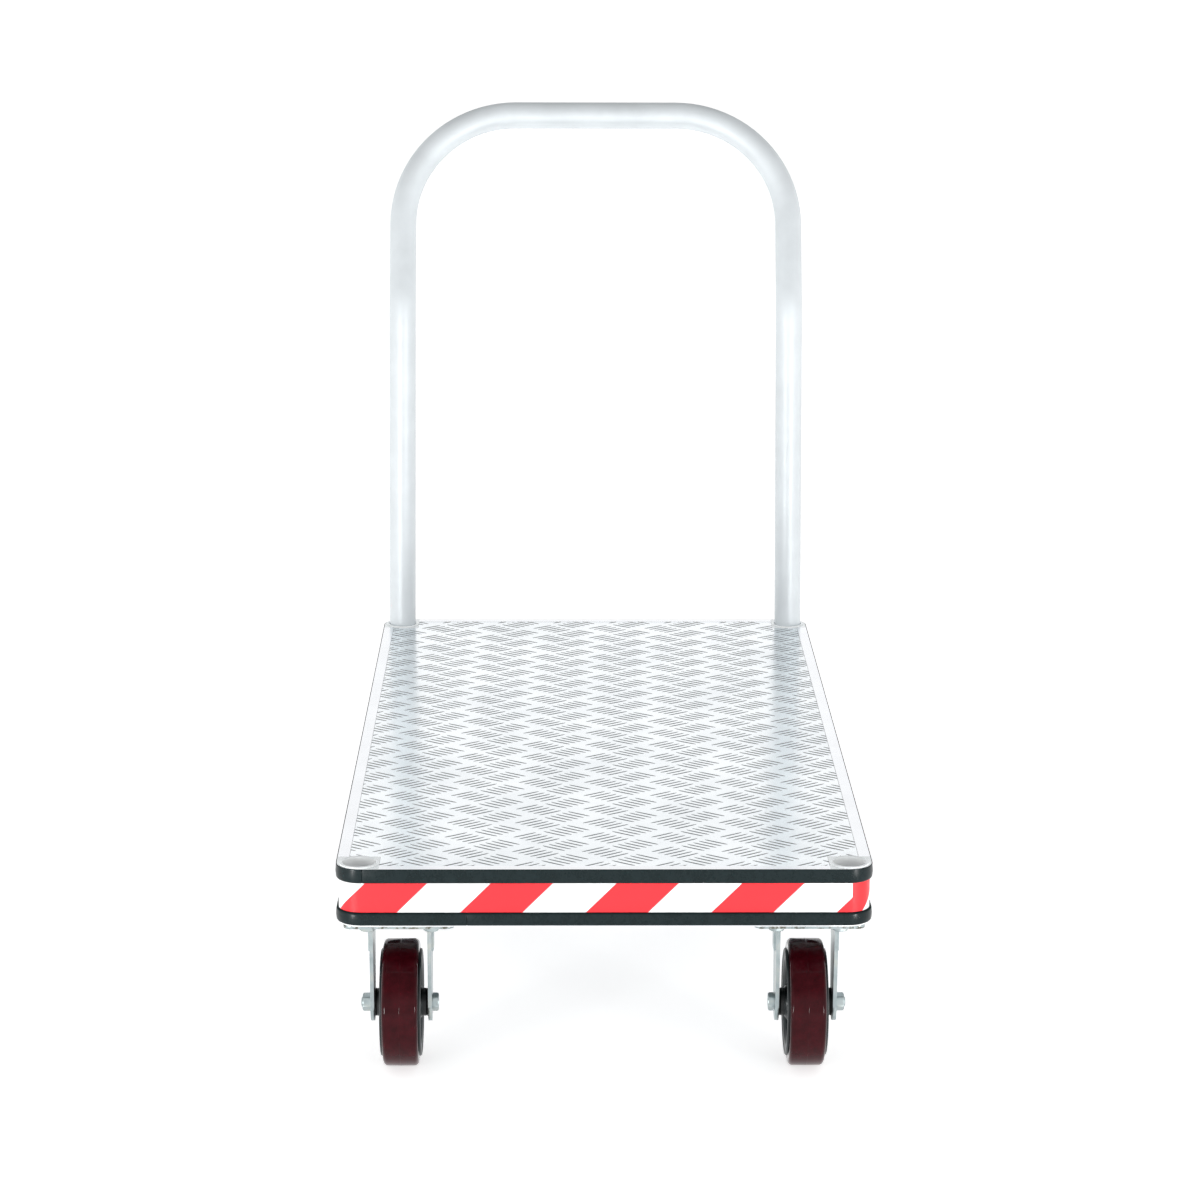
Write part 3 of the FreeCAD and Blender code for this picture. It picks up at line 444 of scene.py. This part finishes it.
def new_piece(name, built, material, body, replaced=(), smooth_angle=35):
    """Turns a bmesh into a piece that rides on a body, shaded smooth except at real edges."""
    bmesh.ops.recalc_face_normals(built, faces=built.faces)
    mesh = bpy.data.meshes.new(name)
    built.to_mesh(mesh)
    built.free()
    mesh.polygons.foreach_set("use_smooth", [True] * len(mesh.polygons))
    mesh.set_sharp_from_angle(angle=math.radians(smooth_angle))
    piece = bpy.data.objects.new(name, mesh)
    piece.data.materials.append(material)
    bpy.context.scene.collection.objects.link(piece)
    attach(piece, body)
    if replaced:
        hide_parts(*replaced)
    return piece


def loft(built, rings, closed_along=False):
    """Joins closed rings of points into one skin, with caps unless the last ring meets the first."""
    rows = [[built.verts.new(p) for p in ring] for ring in rings]
    count = len(rows[0])
    pairs = list(zip(rows, rows[1:]))
    if closed_along:
        pairs.append((rows[-1], rows[0]))
    for a, b in pairs:
        for i in range(count):
            j = (i + 1) % count
            built.faces.new((a[i], a[j], b[j], b[i]))
    if not closed_along:
        built.faces.new(rows[0])
        built.faces.new(rows[-1])


def ring_points(centre, across, other, radii):
    """Points round a centre at equal angles, at the given radii."""
    points = []
    for k, radius in enumerate(radii):
        a = 2 * math.pi * k / len(radii)
        points.append(centre + across * (radius * math.cos(a)) + other * (radius * math.sin(a)))
    return points


def arc_points(centre, radius, start, end, steps):
    """Points (x, y) on an arc, angles in degrees."""
    points = []
    for i in range(steps + 1):
        a = math.radians(start + (end - start) * i / steps)
        points.append((centre[0] + radius * math.cos(a), centre[1] + radius * math.sin(a)))
    return points


# Deck surface

GROUP_PITCH = Vector((81.24 * MM, 57.57 * MM))
GROUP_START = Vector((9.5 * MM, 34.2 * MM))
GROUP_SHIFT = Vector((35.1 * MM, 28.8 * MM))
COLUMN_LEAN = 0.0148
BAR_LENGTH = 33 * MM
BAR_WIDTH = 3.4 * MM
BAR_HEIGHT = 0.6 * MM
BAR_SUNK = 0.03 * MM
BAR_SHARES = (-1.0, -0.92, -0.7, 0.0, 0.7, 0.92, 1.0)
BAR_ACROSS = (-1.0, -0.92, -0.78, -0.5, 0.0, 0.5, 0.78, 0.92, 1.0)
SHORTEST_BAR = 0.15
BAR_ANGLE = math.radians(36.5)
BAR_STEP = Vector((7.0 * MM, 6.07 * MM))
BARS_IN_GROUP = 5


def bar_limits(centre, direction):
    """How far along a bar the plate reaches each way, and the edge that cuts it there, as
    (share of the half length, edge normal, edge distance). None if the bar is off the plate."""
    half = BAR_LENGTH / 2
    place = centre - DECK.xy
    edge = Vector((PLATE_HIGH.x, PLATE_HIGH.y - DECK.y))
    edges = [(Vector((s, 0)), edge.x) for s in (-1, 1)] + [(Vector((0, s)), edge.y) for s in (-1, 1)]
    tips = [place + direction * (s * half) for s in (-1, 1)]
    in_casting = [abs(t.x) > CASTING_INNER_X and abs(t.y) > CASTING_INNER_Y for t in tips]
    if all(in_casting):
        return None
    if any(in_casting):
        outer, inner = tips if in_casting[0] else tips[::-1]
        if abs(inner.x) < CASTING_INNER_X:
            edges.append((Vector((math.copysign(1, outer.x), 0)), CASTING_INNER_X))
        else:
            edges.append((Vector((0, math.copysign(1, outer.y))), CASTING_INNER_Y))
    limits = [(-1.0, None, 0.0), (1.0, None, 0.0)]
    for normal, distance in edges:
        rate = direction.dot(normal) * half
        share = (distance - place.dot(normal)) / rate
        side = 1 if rate > 0 else 0
        if (share < limits[side][0]) if side else (share > limits[side][0]):
            limits[side] = (share, normal, distance)
    return limits if limits[1][0] - limits[0][0] > SHORTEST_BAR else None


def bar_rings(centre, direction, limits):
    """Cross rings of one raised bar: a long low lens, cut off square to the plate's edge where
    the edge crosses it."""
    side = Vector((-direction.y, direction.x))
    first, last = limits[0][0], limits[1][0]
    shares = [first] + [s for s in BAR_SHARES if first < s < last] + [last]
    rings = []
    for index, share in enumerate(shares):
        girth = math.sqrt(max(0.02, 1 - share ** 4))
        middle = centre + direction * (share * BAR_LENGTH / 2)
        normal, distance = {0: limits[0][1:], len(shares) - 1: limits[1][1:]}.get(index, (None, 0.0))
        ring = []
        for across in BAR_ACROSS:
            p = middle + side * (BAR_WIDTH / 2 * girth * across)
            if normal is not None:
                p += direction * ((distance - (p - DECK.xy).dot(normal)) / direction.dot(normal))
            up = BAR_HEIGHT * girth * (1 - across ** 4)
            ring.append(Vector((p.x, p.y, PLATE_HIGH.z - BAR_SUNK + up)))
        rings.append(ring)
    return rings


def make_tread_bars(material):
    """The five-bar pattern: groups of five bars that lean left and right in turn."""
    built = bmesh.new()
    columns = int(DECK_HALF.x / GROUP_PITCH.x) + 2
    rows = int(DECK_HALF.y / GROUP_PITCH.y) + 2
    for column in range(-columns, columns + 1):
        for row in range(-rows, rows + 1):
            for lean in (1, -1):
                group = GROUP_START + Vector((column * GROUP_PITCH.x, row * GROUP_PITCH.y))
                if lean < 0:
                    group += GROUP_SHIFT
                group.x += COLUMN_LEAN * group.y
                direction = Vector((math.cos(BAR_ANGLE), lean * math.sin(BAR_ANGLE)))
                for bar in range(BARS_IN_GROUP):
                    step = bar - (BARS_IN_GROUP - 1) / 2
                    shift = Vector((-lean * BAR_STEP.x, BAR_STEP.y)) * step
                    centre = DECK.xy + group + shift
                    limits = bar_limits(centre, direction)
                    if limits:
                        loft(built, bar_rings(centre, direction, limits))
    return new_piece("tread_bars", built, material, "deck", smooth_angle=60)


# Strips that run round the deck

CORNER_STEPS = 10
LONG_STEP = 40 * MM


def frame_path(inset):
    """Points round the deck at inset from the bumper's face, each with its outward direction and
    its distance from the middle of the front, measured towards +X."""
    x, y = DECK_HALF.x - inset, DECK_HALF.y - inset
    r = CORNER_RADIUS - inset
    corner = r * math.pi / 2
    path, distance = [], 0.0
    sides = (
        (Vector((0, -y)), Vector((x - r, -y)), 270),
        (Vector((x, -y + r)), Vector((x, y - r)), 0),
        (Vector((x - r, y)), Vector((-x + r, y)), 90),
        (Vector((-x, y - r)), Vector((-x, -y + r)), 180),
        (Vector((-x + r, -y)), Vector((0, -y)), 270),
    )
    for index, (start, end, facing) in enumerate(sides):
        a = math.radians(facing)
        outward = Vector((round(math.cos(a)), round(math.sin(a))))
        length = (end - start).length
        steps = max(1, round(length / LONG_STEP))
        for i in range(steps):
            path.append((start.lerp(end, i / steps), outward, distance + length * i / steps))
        distance += length
        if index == len(sides) - 1:
            break
        centre = end - outward * r
        for i in range(CORNER_STEPS):
            turn = a + math.pi / 2 * i / CORNER_STEPS
            direction = Vector((math.cos(turn), math.sin(turn)))
            path.append((centre + direction * r, direction, distance + corner * i / CORNER_STEPS))
        distance += corner
    return path, distance


def path_point(path, length, at):
    """Place and outward direction at a distance along the closed path."""
    at = at % length
    for here, after in zip(path, path[1:] + [(path[0][0], path[0][1], length)]):
        if here[2] <= at <= after[2]:
            share = (at - here[2]) / max(after[2] - here[2], 1e-9)
            outward = here[1].lerp(after[1], share).normalized()
            return here[0].lerp(after[0], share), outward


PROUD = 3.5 * MM
LIP_CLEAR = 1.45 * MM
UPSTAND_BACK = 0.75 * MM
UPPER_SEAM = -278 * MM
LOWER_SEAM = -158 * MM
SEAM_GAP = 0.02 * MM
SEAM_ROUNDING = 1.2 * MM
SEAM_DEPTH = 0.9 * MM


def bumper_section(half, upstand):
    """The strip's outline as (reach from its face, height from its middle): a crowned face,
    rounded corners and, with an upstand, a low wall outside the deck's lip."""
    crown, corner_up, steps = 0.45 * MM, 3.2 * MM, 6
    outline = []
    upper_inner = UPSTAND_BACK if upstand else PROUD
    for side, top, inner in ((-1, half, PROUD), (1, half + upstand, upper_inner)):
        corner = []
        for i in range(steps + 1):
            a = math.pi / 2 * i / steps
            reach = -crown - (min(inner, 2.8 * MM) - crown) * (1 - math.cos(a))
            corner.append((reach, side * (top - corner_up * (1 - math.sin(a)))))
        corner.append((-inner, side * top))
        outline += corner[::-1] if side < 0 else [(0.0, 0.0)] + corner
    if upstand:
        outline += [(-UPSTAND_BACK - 0.01 * MM, half), (-PROUD, half)]
    return outline


def make_bumper(name, node, seam, material, upstand=0.0):
    """A bumper strip: a D section swept round the deck from seam to seam, where its two cut ends
    are rounded and almost touch."""
    low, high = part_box(node)
    middle, half = (low.z + high.z) / 2, (high.z - low.z) / 2
    section = bumper_section(half, upstand)
    path, length = frame_path(0.0)
    stops = {(p[2] - seam) % length for p in path}
    for from_end in (SEAM_GAP, 0.4 * MM, SEAM_ROUNDING):
        stops |= {from_end, length - from_end}
    stops = sorted(s for s in stops if SEAM_GAP <= s <= length - SEAM_GAP)
    built = bmesh.new()
    rings = []
    for stop in stops:
        place, outward = path_point(path, length, seam + stop)
        from_end = min(stop, length - stop)
        tuck = SEAM_DEPTH * max(0.0, 1 - from_end / SEAM_ROUNDING) ** 2
        ring = []
        for reach, up in section:
            point = place + outward * max(-PROUD, reach - tuck * (1 + reach / PROUD))
            ring.append(Vector((point.x, point.y + DECK.y, middle + up * (1 - tuck / half / 2))))
        rings.append(ring)
    loft(built, rings)
    return new_piece(name, built, material, "deck", [node], smooth_angle=50)


def make_lip_seal(material):
    """The matte sealing edge that lies between the deck's lip and the upper bumper."""
    path, _ = frame_path(0.0)
    low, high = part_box("upper_bumper")[1].z - 0.3 * MM, BORDER_TOP - 0.05 * MM
    edge = 0.12 * MM
    section = ((LIP_CLEAR, low), (UPSTAND_BACK - edge, low), (UPSTAND_BACK - edge, high - edge))
    section += ((UPSTAND_BACK, high), (LIP_CLEAR - edge, high), (LIP_CLEAR, high - edge))
    built = bmesh.new()
    rings = []
    for place, outward, _ in path:
        points = [(place - outward * inset, z) for inset, z in section]
        rings.append([Vector((p.x, p.y + DECK.y, z)) for p, z in points])
    loft(built, rings, closed_along=True)
    return new_piece("lip_seal", built, material, "deck", ["upper_bumper"])


TAPE_CUT = 285 * MM
TAPE_OVERLAP = 16 * MM
TAPE_START_SHIFT = 40.6 * MM
TAPE_STRETCHED = (0.2, 2.9)
TAPE_RAISED = 24 * MM
TAPE_OUT_RAISED, TAPE_OUT = 0.20 * MM, 0.06 * MM
TAPE_THICKNESS = 0.12 * MM


def make_tape(material):
    """The tape as one ribbon: it starts at a cut near the front right corner, runs round the
    truck, and its other end lies under that cut. Its stripes are stretched slightly on the sides
    and the back, so that they run on without a break and keep their places on the front."""
    low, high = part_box("reflective_tape")
    path, length = frame_path(3.5 * MM)
    total = length + TAPE_OVERLAP
    repeats = round((length + TAPE_START_SHIFT) / TAPE_PERIOD)
    end_shift = repeats * TAPE_PERIOD - length
    stretch_from, stretch_to = TAPE_STRETCHED
    stops = {0.0, total, length + 4 * MM, length + 10 * MM}
    stops |= {(p[2] - TAPE_CUT) % length for p in path}
    built = bmesh.new()
    layer = built.loops.layers.uv.new("strip")
    rows, coordinates = [], {}
    for stop in sorted(stops):
        place, outward = path_point(path, length, TAPE_CUT + stop)
        point = place + outward * (TAPE_OUT_RAISED if stop < TAPE_RAISED else TAPE_OUT)
        stretched = min(1.0, max(0.0, (stop - stretch_from) / (stretch_to - stretch_from)))
        shift = TAPE_START_SHIFT + (end_shift - TAPE_START_SHIFT) * stretched
        along = TAPE_CUT + stop + shift
        row = []
        for share in (0.0, 0.25, 0.5, 0.75, 1.0):
            up = (high.z - low.z) * share
            vertex = built.verts.new((point.x, point.y + DECK.y, low.z + up))
            coordinates[vertex] = (along, up)
            row.append(vertex)
        rows.append(row)
    for a, b in zip(rows, rows[1:]):
        for i in range(4):
            face = built.faces.new((a[i], b[i], b[i + 1], a[i + 1]))
            for loop in face.loops:
                loop[layer].uv = coordinates[loop.vert]
    built.edges.index_update()
    rim = [edge.index for edge in built.edges if edge.is_boundary]
    piece = new_piece("tape_strip", built, material, "deck", ["reflective_tape"])
    for index in rim:
        piece.data.edges[index].use_edge_sharp = True
    thick = piece.modifiers.new("thickness", "SOLIDIFY")
    thick.thickness = TAPE_THICKNESS
    thick.offset = 0
    return piece


# Handle

TUBE_RADIUS = 19 * MM
TUBE_WALL = 2 * MM
HANDLE_TOP_X = 278 * MM
HANDLE_LEG = 470 * MM
HANDLE_BENDS = (400 * MM, 100 * MM, 162 * MM)
SOCKET_INSET = 27.5 * MM
SOCKET_RISE = 8 * MM
TUBE_SIDES = 48
ARC_STEP_DEGREES = 4.0


def rounded_line(points, radii):
    """Points along straight runs joined by tangent arcs."""
    line = [points[0]]
    for before, corner, after, radius in zip(points, points[1:], points[2:], radii):
        back, ahead = (before - corner).normalized(), (after - corner).normalized()
        half_turn = (math.pi - back.angle(ahead)) / 2
        reach = radius * math.tan(half_turn)
        bisector = (back + ahead).normalized()
        centre = corner + bisector * (radius / math.cos(half_turn))
        start = corner + back * reach - centre
        axis = back.cross(ahead).normalized()
        steps = max(2, math.ceil(math.degrees(half_turn * 2) / ARC_STEP_DEGREES))
        for i in range(steps + 1):
            line.append(centre + Quaternion(axis, -half_turn * 2 * i / steps) @ start)
    line.append(points[-1])
    return line


def tube_rings(line, radius):
    """Round rings square to a line, carried along it without twist."""
    rings = []
    tangent = (line[1] - line[0]).normalized()
    across = Vector((1, 0, 0))
    for i, point in enumerate(line):
        ahead = line[min(i + 1, len(line) - 1)] - line[max(i - 1, 0)]
        turned = tangent.rotation_difference(ahead.normalized())
        tangent = ahead.normalized()
        across = (turned @ across).normalized()
        rings.append(ring_points(point, across, tangent.cross(across), [radius] * TUBE_SIDES))
    return rings


def make_handle(material):
    """The bent tube, along the same line as in the CAD."""
    low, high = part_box("handle_tube")
    socket_x, socket_y = DECK_HALF.x - SOCKET_INSET, low.y + TUBE_RADIUS
    top_y, top_z = high.y - TUBE_RADIUS, high.z - TUBE_RADIUS
    leg = [
        Vector((-socket_x, socket_y, low.z)),
        Vector((-socket_x, socket_y, BORDER_TOP + SOCKET_RISE)),
        Vector((-HANDLE_TOP_X, socket_y, BORDER_TOP + HANDLE_LEG)),
        Vector((-HANDLE_TOP_X, top_y, top_z)),
    ]
    points = leg + [Vector((-p.x, p.y, p.z)) for p in reversed(leg)]
    line = rounded_line(points, HANDLE_BENDS + HANDLE_BENDS[::-1])
    built = bmesh.new()
    outer = tube_rings(line, TUBE_RADIUS)
    inner = tube_rings(line, TUBE_RADIUS - TUBE_WALL)
    loft(built, outer + inner[::-1], closed_along=True)
    return new_piece("handle_bent_tube", built, material, "handle", ["handle_tube"])


# Wheels

TREAD_BORE = 57 * MM
CORE_HALF = 24 * MM
CORE_SEAT = 21.1 * MM
HUB_RADIUS = 16.5 * MM
HUB_BORE = 12 * MM
RIBS = 8
RIB_FOOT = 6 * MM
RIB_OUTLINE = ((-1.25, None), (-1.0, 0.8 * MM), (-0.7, 0.0), (0.7, 0.0), (1.0, 0.8 * MM), (1.25, None))
LATHE_STEPS = 128


def lathe(built, section, centre):
    """Turns a closed section (x along the axle, r out from it) about the axle."""
    rings = []
    for k in range(LATHE_STEPS):
        a = 2 * math.pi * k / LATHE_STEPS
        out = Vector((0, math.cos(a), math.sin(a)))
        rings.append([centre + Vector((x, 0, 0)) + out * r for x, r in section])
    loft(built, rings, closed_along=True)


def tread_section(half, outer, bore):
    """The tread: crowned slightly, round shoulders, a fine mould line round its middle."""
    shoulder, crown = 5.5 * MM, 0.35 * MM
    line, rise = 0.45 * MM, 0.22 * MM
    right = [(line, outer - rise), (line * 2.2, outer - rise)]
    right += arc_points((half - shoulder, outer - shoulder - crown), shoulder, 88, 6, 8)
    right += [
        (half - 0.2 * MM, outer - shoulder - 4 * MM),
        (half - 1.0 * MM, bore + 6 * MM),
        (half - 0.6 * MM, bore),
    ]
    left = [(-x, r) for x, r in reversed(right)]
    return [(0.0, outer)] + right + left


def make_tread(name, material):
    node = f"wheel_tread_{name}"
    low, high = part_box(node)
    centre = (low + high) / 2
    built = bmesh.new()
    section = tread_section((high.x - low.x) / 2, (high.z - low.z) / 2, TREAD_BORE)
    lathe(built, section, centre)
    return new_piece(f"tread_{name}", built, material, f"wheel_{name}", [node], 28)


def core_section(half, rim, hub_half, hub, bore):
    """The core: a rim with a rounded lip each side, a thin web and a stepped hub."""
    lip = 1.6 * MM
    rim_inner = rim - 12 * MM
    right = [(CORE_SEAT, TREAD_BORE), (CORE_SEAT, rim - 0.4 * MM), (CORE_SEAT + 0.5 * MM, rim)]
    right += arc_points((half - lip, rim - lip), lip, 90, 0, 5)
    right += [(half, rim - 4.2 * MM), (half - 0.8 * MM, rim - 5.2 * MM), (half - 1.2 * MM, rim_inner)]
    right += arc_points((half - 12 * MM, rim_inner - 7 * MM), 9 * MM, 40, 0, 3)[1:2]
    right += [(9 * MM, rim_inner - 4.5 * MM), (7 * MM, rim_inner - 8 * MM)]
    right += [(7 * MM, hub + 12 * MM), (8.5 * MM, hub + 7 * MM)]
    right += [(half - 3 * MM, hub + 3.0 * MM), (half - 0.6 * MM, hub + 1.6 * MM), (half, hub)]
    right += [(hub_half - 1.2 * MM, hub - 0.2 * MM), (hub_half - 0.3 * MM, hub - 0.9 * MM)]
    right += [(hub_half, hub - 2 * MM), (hub_half, bore)]
    left = [(-x, r) for x, r in reversed(right)]
    return right + left


def make_core(name, material):
    """A wheel core with ribs on each side of its web. A station of a rib is its place out from the
    axle, its height and half its width."""
    node = f"wheel_core_{name}"
    low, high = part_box(node)
    centre = (low + high) / 2
    rim, hub_half = (high.z - low.z) / 2, (high.x - low.x) / 2
    stations = (
        (HUB_RADIUS + 2 * MM, 22.5 * MM, 2.6 * MM),
        (HUB_RADIUS + 12 * MM, 17 * MM, 2.2 * MM),
        (rim - 22 * MM, 16 * MM, 2.2 * MM),
        (rim - 11.5 * MM, 20 * MM, 2.8 * MM),
    )
    built = bmesh.new()
    lathe(built, core_section(CORE_HALF, rim, hub_half, HUB_RADIUS, HUB_BORE), centre)
    for side in (-1, 1):
        for k in range(RIBS):
            a = 2 * math.pi * (k + 0.5) / RIBS
            out = Vector((0, math.cos(a), math.sin(a)))
            across = Vector((0, -math.sin(a), math.cos(a)))
            rings = []
            for reach, top, half_width in stations:
                ring = []
                for width, below in RIB_OUTLINE:
                    up = RIB_FOOT if below is None else top - below
                    point = centre + out * reach + across * (half_width * width)
                    ring.append(point + Vector((side * up, 0, 0)))
                rings.append(ring)
            loft(built, rings)
    return new_piece(f"core_{name}", built, material, f"wheel_{name}", [node], 32)


# Fasteners

AXLE_FLATS = 19 * MM
AXLE_RADIUS = 6 * MM
AXLE_HEAD = 7.5 * MM
AXLE_NUT = 10 * MM
AXLE_WASHER_FACE = 0.6 * MM
CASTER_BOLT_FLATS = 17 * MM
CASTER_BOLT_RADIUS = 5 * MM
CASTER_BOLT_HEAD = 6 * MM
CASTER_BOLT_WASHER_FACE = 0.5 * MM
HEXAGON_SIDES = 72
THREAD_SIDES = 36
THREAD_PITCH = 1.5 * MM
THREAD_DEPTH = 0.55 * MM
SPRING_STEPS = 44
SPRING_STEP_DEGREES = 7.72
SPRING_RISE = 0.4 * MM
SPRING_OUTLINE = ((5.2, -0.8), (5.2, 0.8), (8.3, 0.8), (8.9, 0.5), (8.9, -0.5), (8.3, -0.8))


def islands(node):
    """The boxes (low, high) of the separate solids of a CAD node."""
    mesh = NODES[node].data
    built = bmesh.new()
    built.from_mesh(mesh)
    bmesh.ops.remove_doubles(built, verts=built.verts, dist=0.01 * MM)
    seen, found = set(), []
    for vertex in built.verts:
        if vertex in seen:
            continue
        stack, members = [vertex], []
        seen.add(vertex)
        while stack:
            here = stack.pop()
            members.append(here.co.copy())
            for edge in here.link_edges:
                other = edge.other_vert(here)
                if other not in seen:
                    seen.add(other)
                    stack.append(other)
        low = Vector(min(p[i] for p in members) for i in range(3))
        high = Vector(max(p[i] for p in members) for i in range(3))
        found.append((low, high))
    built.free()
    return found


def hexagon_head(built, base, axis, flats, height, washer, dish=False):
    """A hexagon on a washer face, chamfered at its free end. base lies on the seat."""
    axis = axis.normalized()
    across = axis.orthogonal().normalized()
    other = axis.cross(across)
    corner = flats / math.sqrt(3)
    face = flats * 0.47

    def ring(reach, up):
        """The hexagon with its corners eased, held within reach."""
        radii = []
        for k in range(HEXAGON_SIDES):
            fold = math.radians((360 * k / HEXAGON_SIDES + 30) % 60 - 30)
            hexagon = flats / 2 / math.cos(fold)
            radii.append(min(hexagon - 0.12 * MM * (hexagon > corner * 0.985), reach))
        return ring_points(base + axis * up, across, other, radii)

    rings = [ring(face, 0.0), ring(face, washer), ring(corner - 0.5 * MM, washer + 0.02 * MM)]
    rings += [ring(corner, washer + 0.5 * MM), ring(corner, height - corner * 0.16)]
    rings += [ring(corner * 0.93, height - corner * 0.06), ring(corner * 0.84, height)]
    if dish:
        rings += [ring(corner * 0.62, height), ring(corner * 0.56, height - 0.35 * MM)]
    loft(built, rings)


def threaded_end(built, base, axis, radius, length):
    """A bolt's end: thread crests as fine rings, and a chamfered tip."""
    axis = axis.normalized()
    across = axis.orthogonal().normalized()
    other = axis.cross(across)
    stops, up, crest = [], 0.0, True
    while up < length - 1.0 * MM:
        stops.append((up, radius if crest else radius - THREAD_DEPTH))
        up += THREAD_PITCH / 2
        crest = not crest
    stops += [(length - 1.0 * MM, radius), (length - 0.2 * MM, radius - 0.8 * MM)]
    stops.append((length, radius - 1.1 * MM))
    loft(built, [ring_points(base + axis * up, across, other, [r] * THREAD_SIDES) for up, r in stops])


def make_axle_hardware(name, body, bolt_node, nut_node, material):
    """Axle bolts and nuts with washer faces, chamfered hexagons and a threaded end."""
    bolts = bmesh.new()
    nuts = bmesh.new()
    for low, high in islands(bolt_node):
        middle = (low + high) / 2
        side = 1 if middle.x > 0 else -1
        head = Vector((low.x if side > 0 else high.x, middle.y, middle.z))
        out = Vector((-side, 0, 0))
        seat = head - out * AXLE_HEAD
        hexagon_head(bolts, seat, out, AXLE_FLATS, AXLE_HEAD, AXLE_WASHER_FACE, dish=True)
        start = AXLE_HEAD + 0.1 * MM
        threaded_end(bolts, head - out * start, -out, AXLE_RADIUS, high.x - low.x - start)
    for low, high in islands(nut_node):
        middle = (low + high) / 2
        side = 1 if middle.x > 0 else -1
        seat = Vector((low.x if side > 0 else high.x, middle.y, middle.z))
        hexagon_head(nuts, seat, Vector((side, 0, 0)), AXLE_FLATS, AXLE_NUT, AXLE_WASHER_FACE)
    new_piece(f"{name}_bolts", bolts, material, body, [bolt_node], 25)
    new_piece(f"{name}_nuts", nuts, material, body, [nut_node], 25)


def make_caster_hardware(material):
    """The heads of the caster bolts and the spring washers under them."""
    heads, washers = bmesh.new(), bmesh.new()
    down = Vector((0, 0, -1))
    for low, high in islands("caster_bolts"):
        middle = (low + high) / 2
        seat = Vector((middle.x, middle.y, low.z + CASTER_BOLT_HEAD))
        head = (CASTER_BOLT_FLATS, CASTER_BOLT_HEAD, CASTER_BOLT_WASHER_FACE)
        hexagon_head(heads, seat, down, *head, dish=True)
        threaded_end(heads, seat + down * 0.1 * MM, -down, CASTER_BOLT_RADIUS, high.z - seat.z)
    for low, high in islands("caster_washers"):
        middle = (low + high) / 2
        rings = []
        for k in range(SPRING_STEPS + 1):
            a = math.radians(SPRING_STEP_DEGREES * k)
            rise = (0.5 - k / SPRING_STEPS) * SPRING_RISE
            out = Vector((math.cos(a), math.sin(a), 0))
            ring = []
            for reach, up in SPRING_OUTLINE:
                ring.append(middle + out * (reach * MM) + Vector((0, 0, up * MM + rise)))
            rings.append(ring)
        loft(washers, rings)
    new_piece("caster_bolt_heads", heads, material, "deck", ["caster_bolts"], 25)
    new_piece("spring_washers", washers, material, "deck", ["caster_washers"], 40)


SOFT_EDGE = 0.5 * MM
SOFT_ANGLE = math.radians(38)


def soften(node):
    """Rounds a CAD node's sharp edges with modifiers, which leave its mesh as it is."""
    piece = NODES[node]
    weld = piece.modifiers.new("weld", "WELD")
    weld.merge_threshold = 0.005 * MM
    bevel = piece.modifiers.new("edges", "BEVEL")
    bevel.width = SOFT_EDGE
    bevel.segments = 2
    bevel.limit_method = "ANGLE"
    bevel.angle_limit = SOFT_ANGLE
    bevel.harden_normals = True


def paint(node, material):
    """Gives a CAD node one material in all its slots."""
    mesh = NODES[node].data
    mesh.materials.clear()
    mesh.materials.append(material)


make_camera()
make_world()
make_floor()
make_lights()
bpy.context.scene.view_settings.view_transform = "Standard"

rail = brushed_aluminium("rail_aluminium", (0.93, 0.95, 0.98), (1, 1, 1), 0.0011, (0.14, 0.25))
tube = brushed_aluminium(
    "handle_aluminium", (0.75, 0.795, 0.82), (1, 1, 0.05), 0.0009, (0.38, 0.52), 0.05, 0.3
)
tread_metal = tread_aluminium()
casting = cast_aluminium()
zinc = zinc_plate()
rubber = bumper_rubber()
tape = striped_tape()
maroon = polyurethane()
black = core_plastic()
steel = bearing_steel()
seal = seal_rubber()

BY_START = (
    ("corner_casting", casting),
    ("cross_member", rail),
    ("side_rail", rail),
    ("front_rail", rail),
    ("rear_rail", rail),
    ("frame_rivets", rail),
    ("tread_plate", tread_metal),
    ("upper_bumper", rubber),
    ("lower_bumper", rubber),
    ("reflective_tape", tape),
    ("wheel_tread", maroon),
    ("wheel_core", black),
    ("wheel_bearing", steel),
    ("swivel_balls", steel),
    ("hub_seals", seal),
    ("handle_tube", tube),
)
for node in NODES:
    paint(node, next((m for start, m in BY_START if node.startswith(start)), zinc))

make_tread_bars(tread_metal)
upstand = BORDER_TOP - 0.1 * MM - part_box("upper_bumper")[1].z
make_bumper("upper_bumper_strip", "upper_bumper", UPPER_SEAM, rubber, upstand)
make_bumper("lower_bumper_strip", "lower_bumper", LOWER_SEAM, rubber)
make_lip_seal(lip_rubber())
make_tape(tape)
make_handle(tube)
for wheel in WHEELS:
    make_tread(wheel, maroon)
    make_core(wheel, black)
make_axle_hardware("front_axle", "deck", "front_axle_bolts", "front_axle_nuts", zinc)
for hand in ("left", "right"):
    make_axle_hardware(
        f"rear_axle_{hand}", f"swivel_{hand}", f"rear_axle_bolt_{hand}", f"rear_axle_nut_{hand}", zinc
    )
make_caster_hardware(zinc)
for node in NODES:
    if node.startswith(("rigid_fork", "swivel_fork", "swivel_top_plate")):
        soften(node)
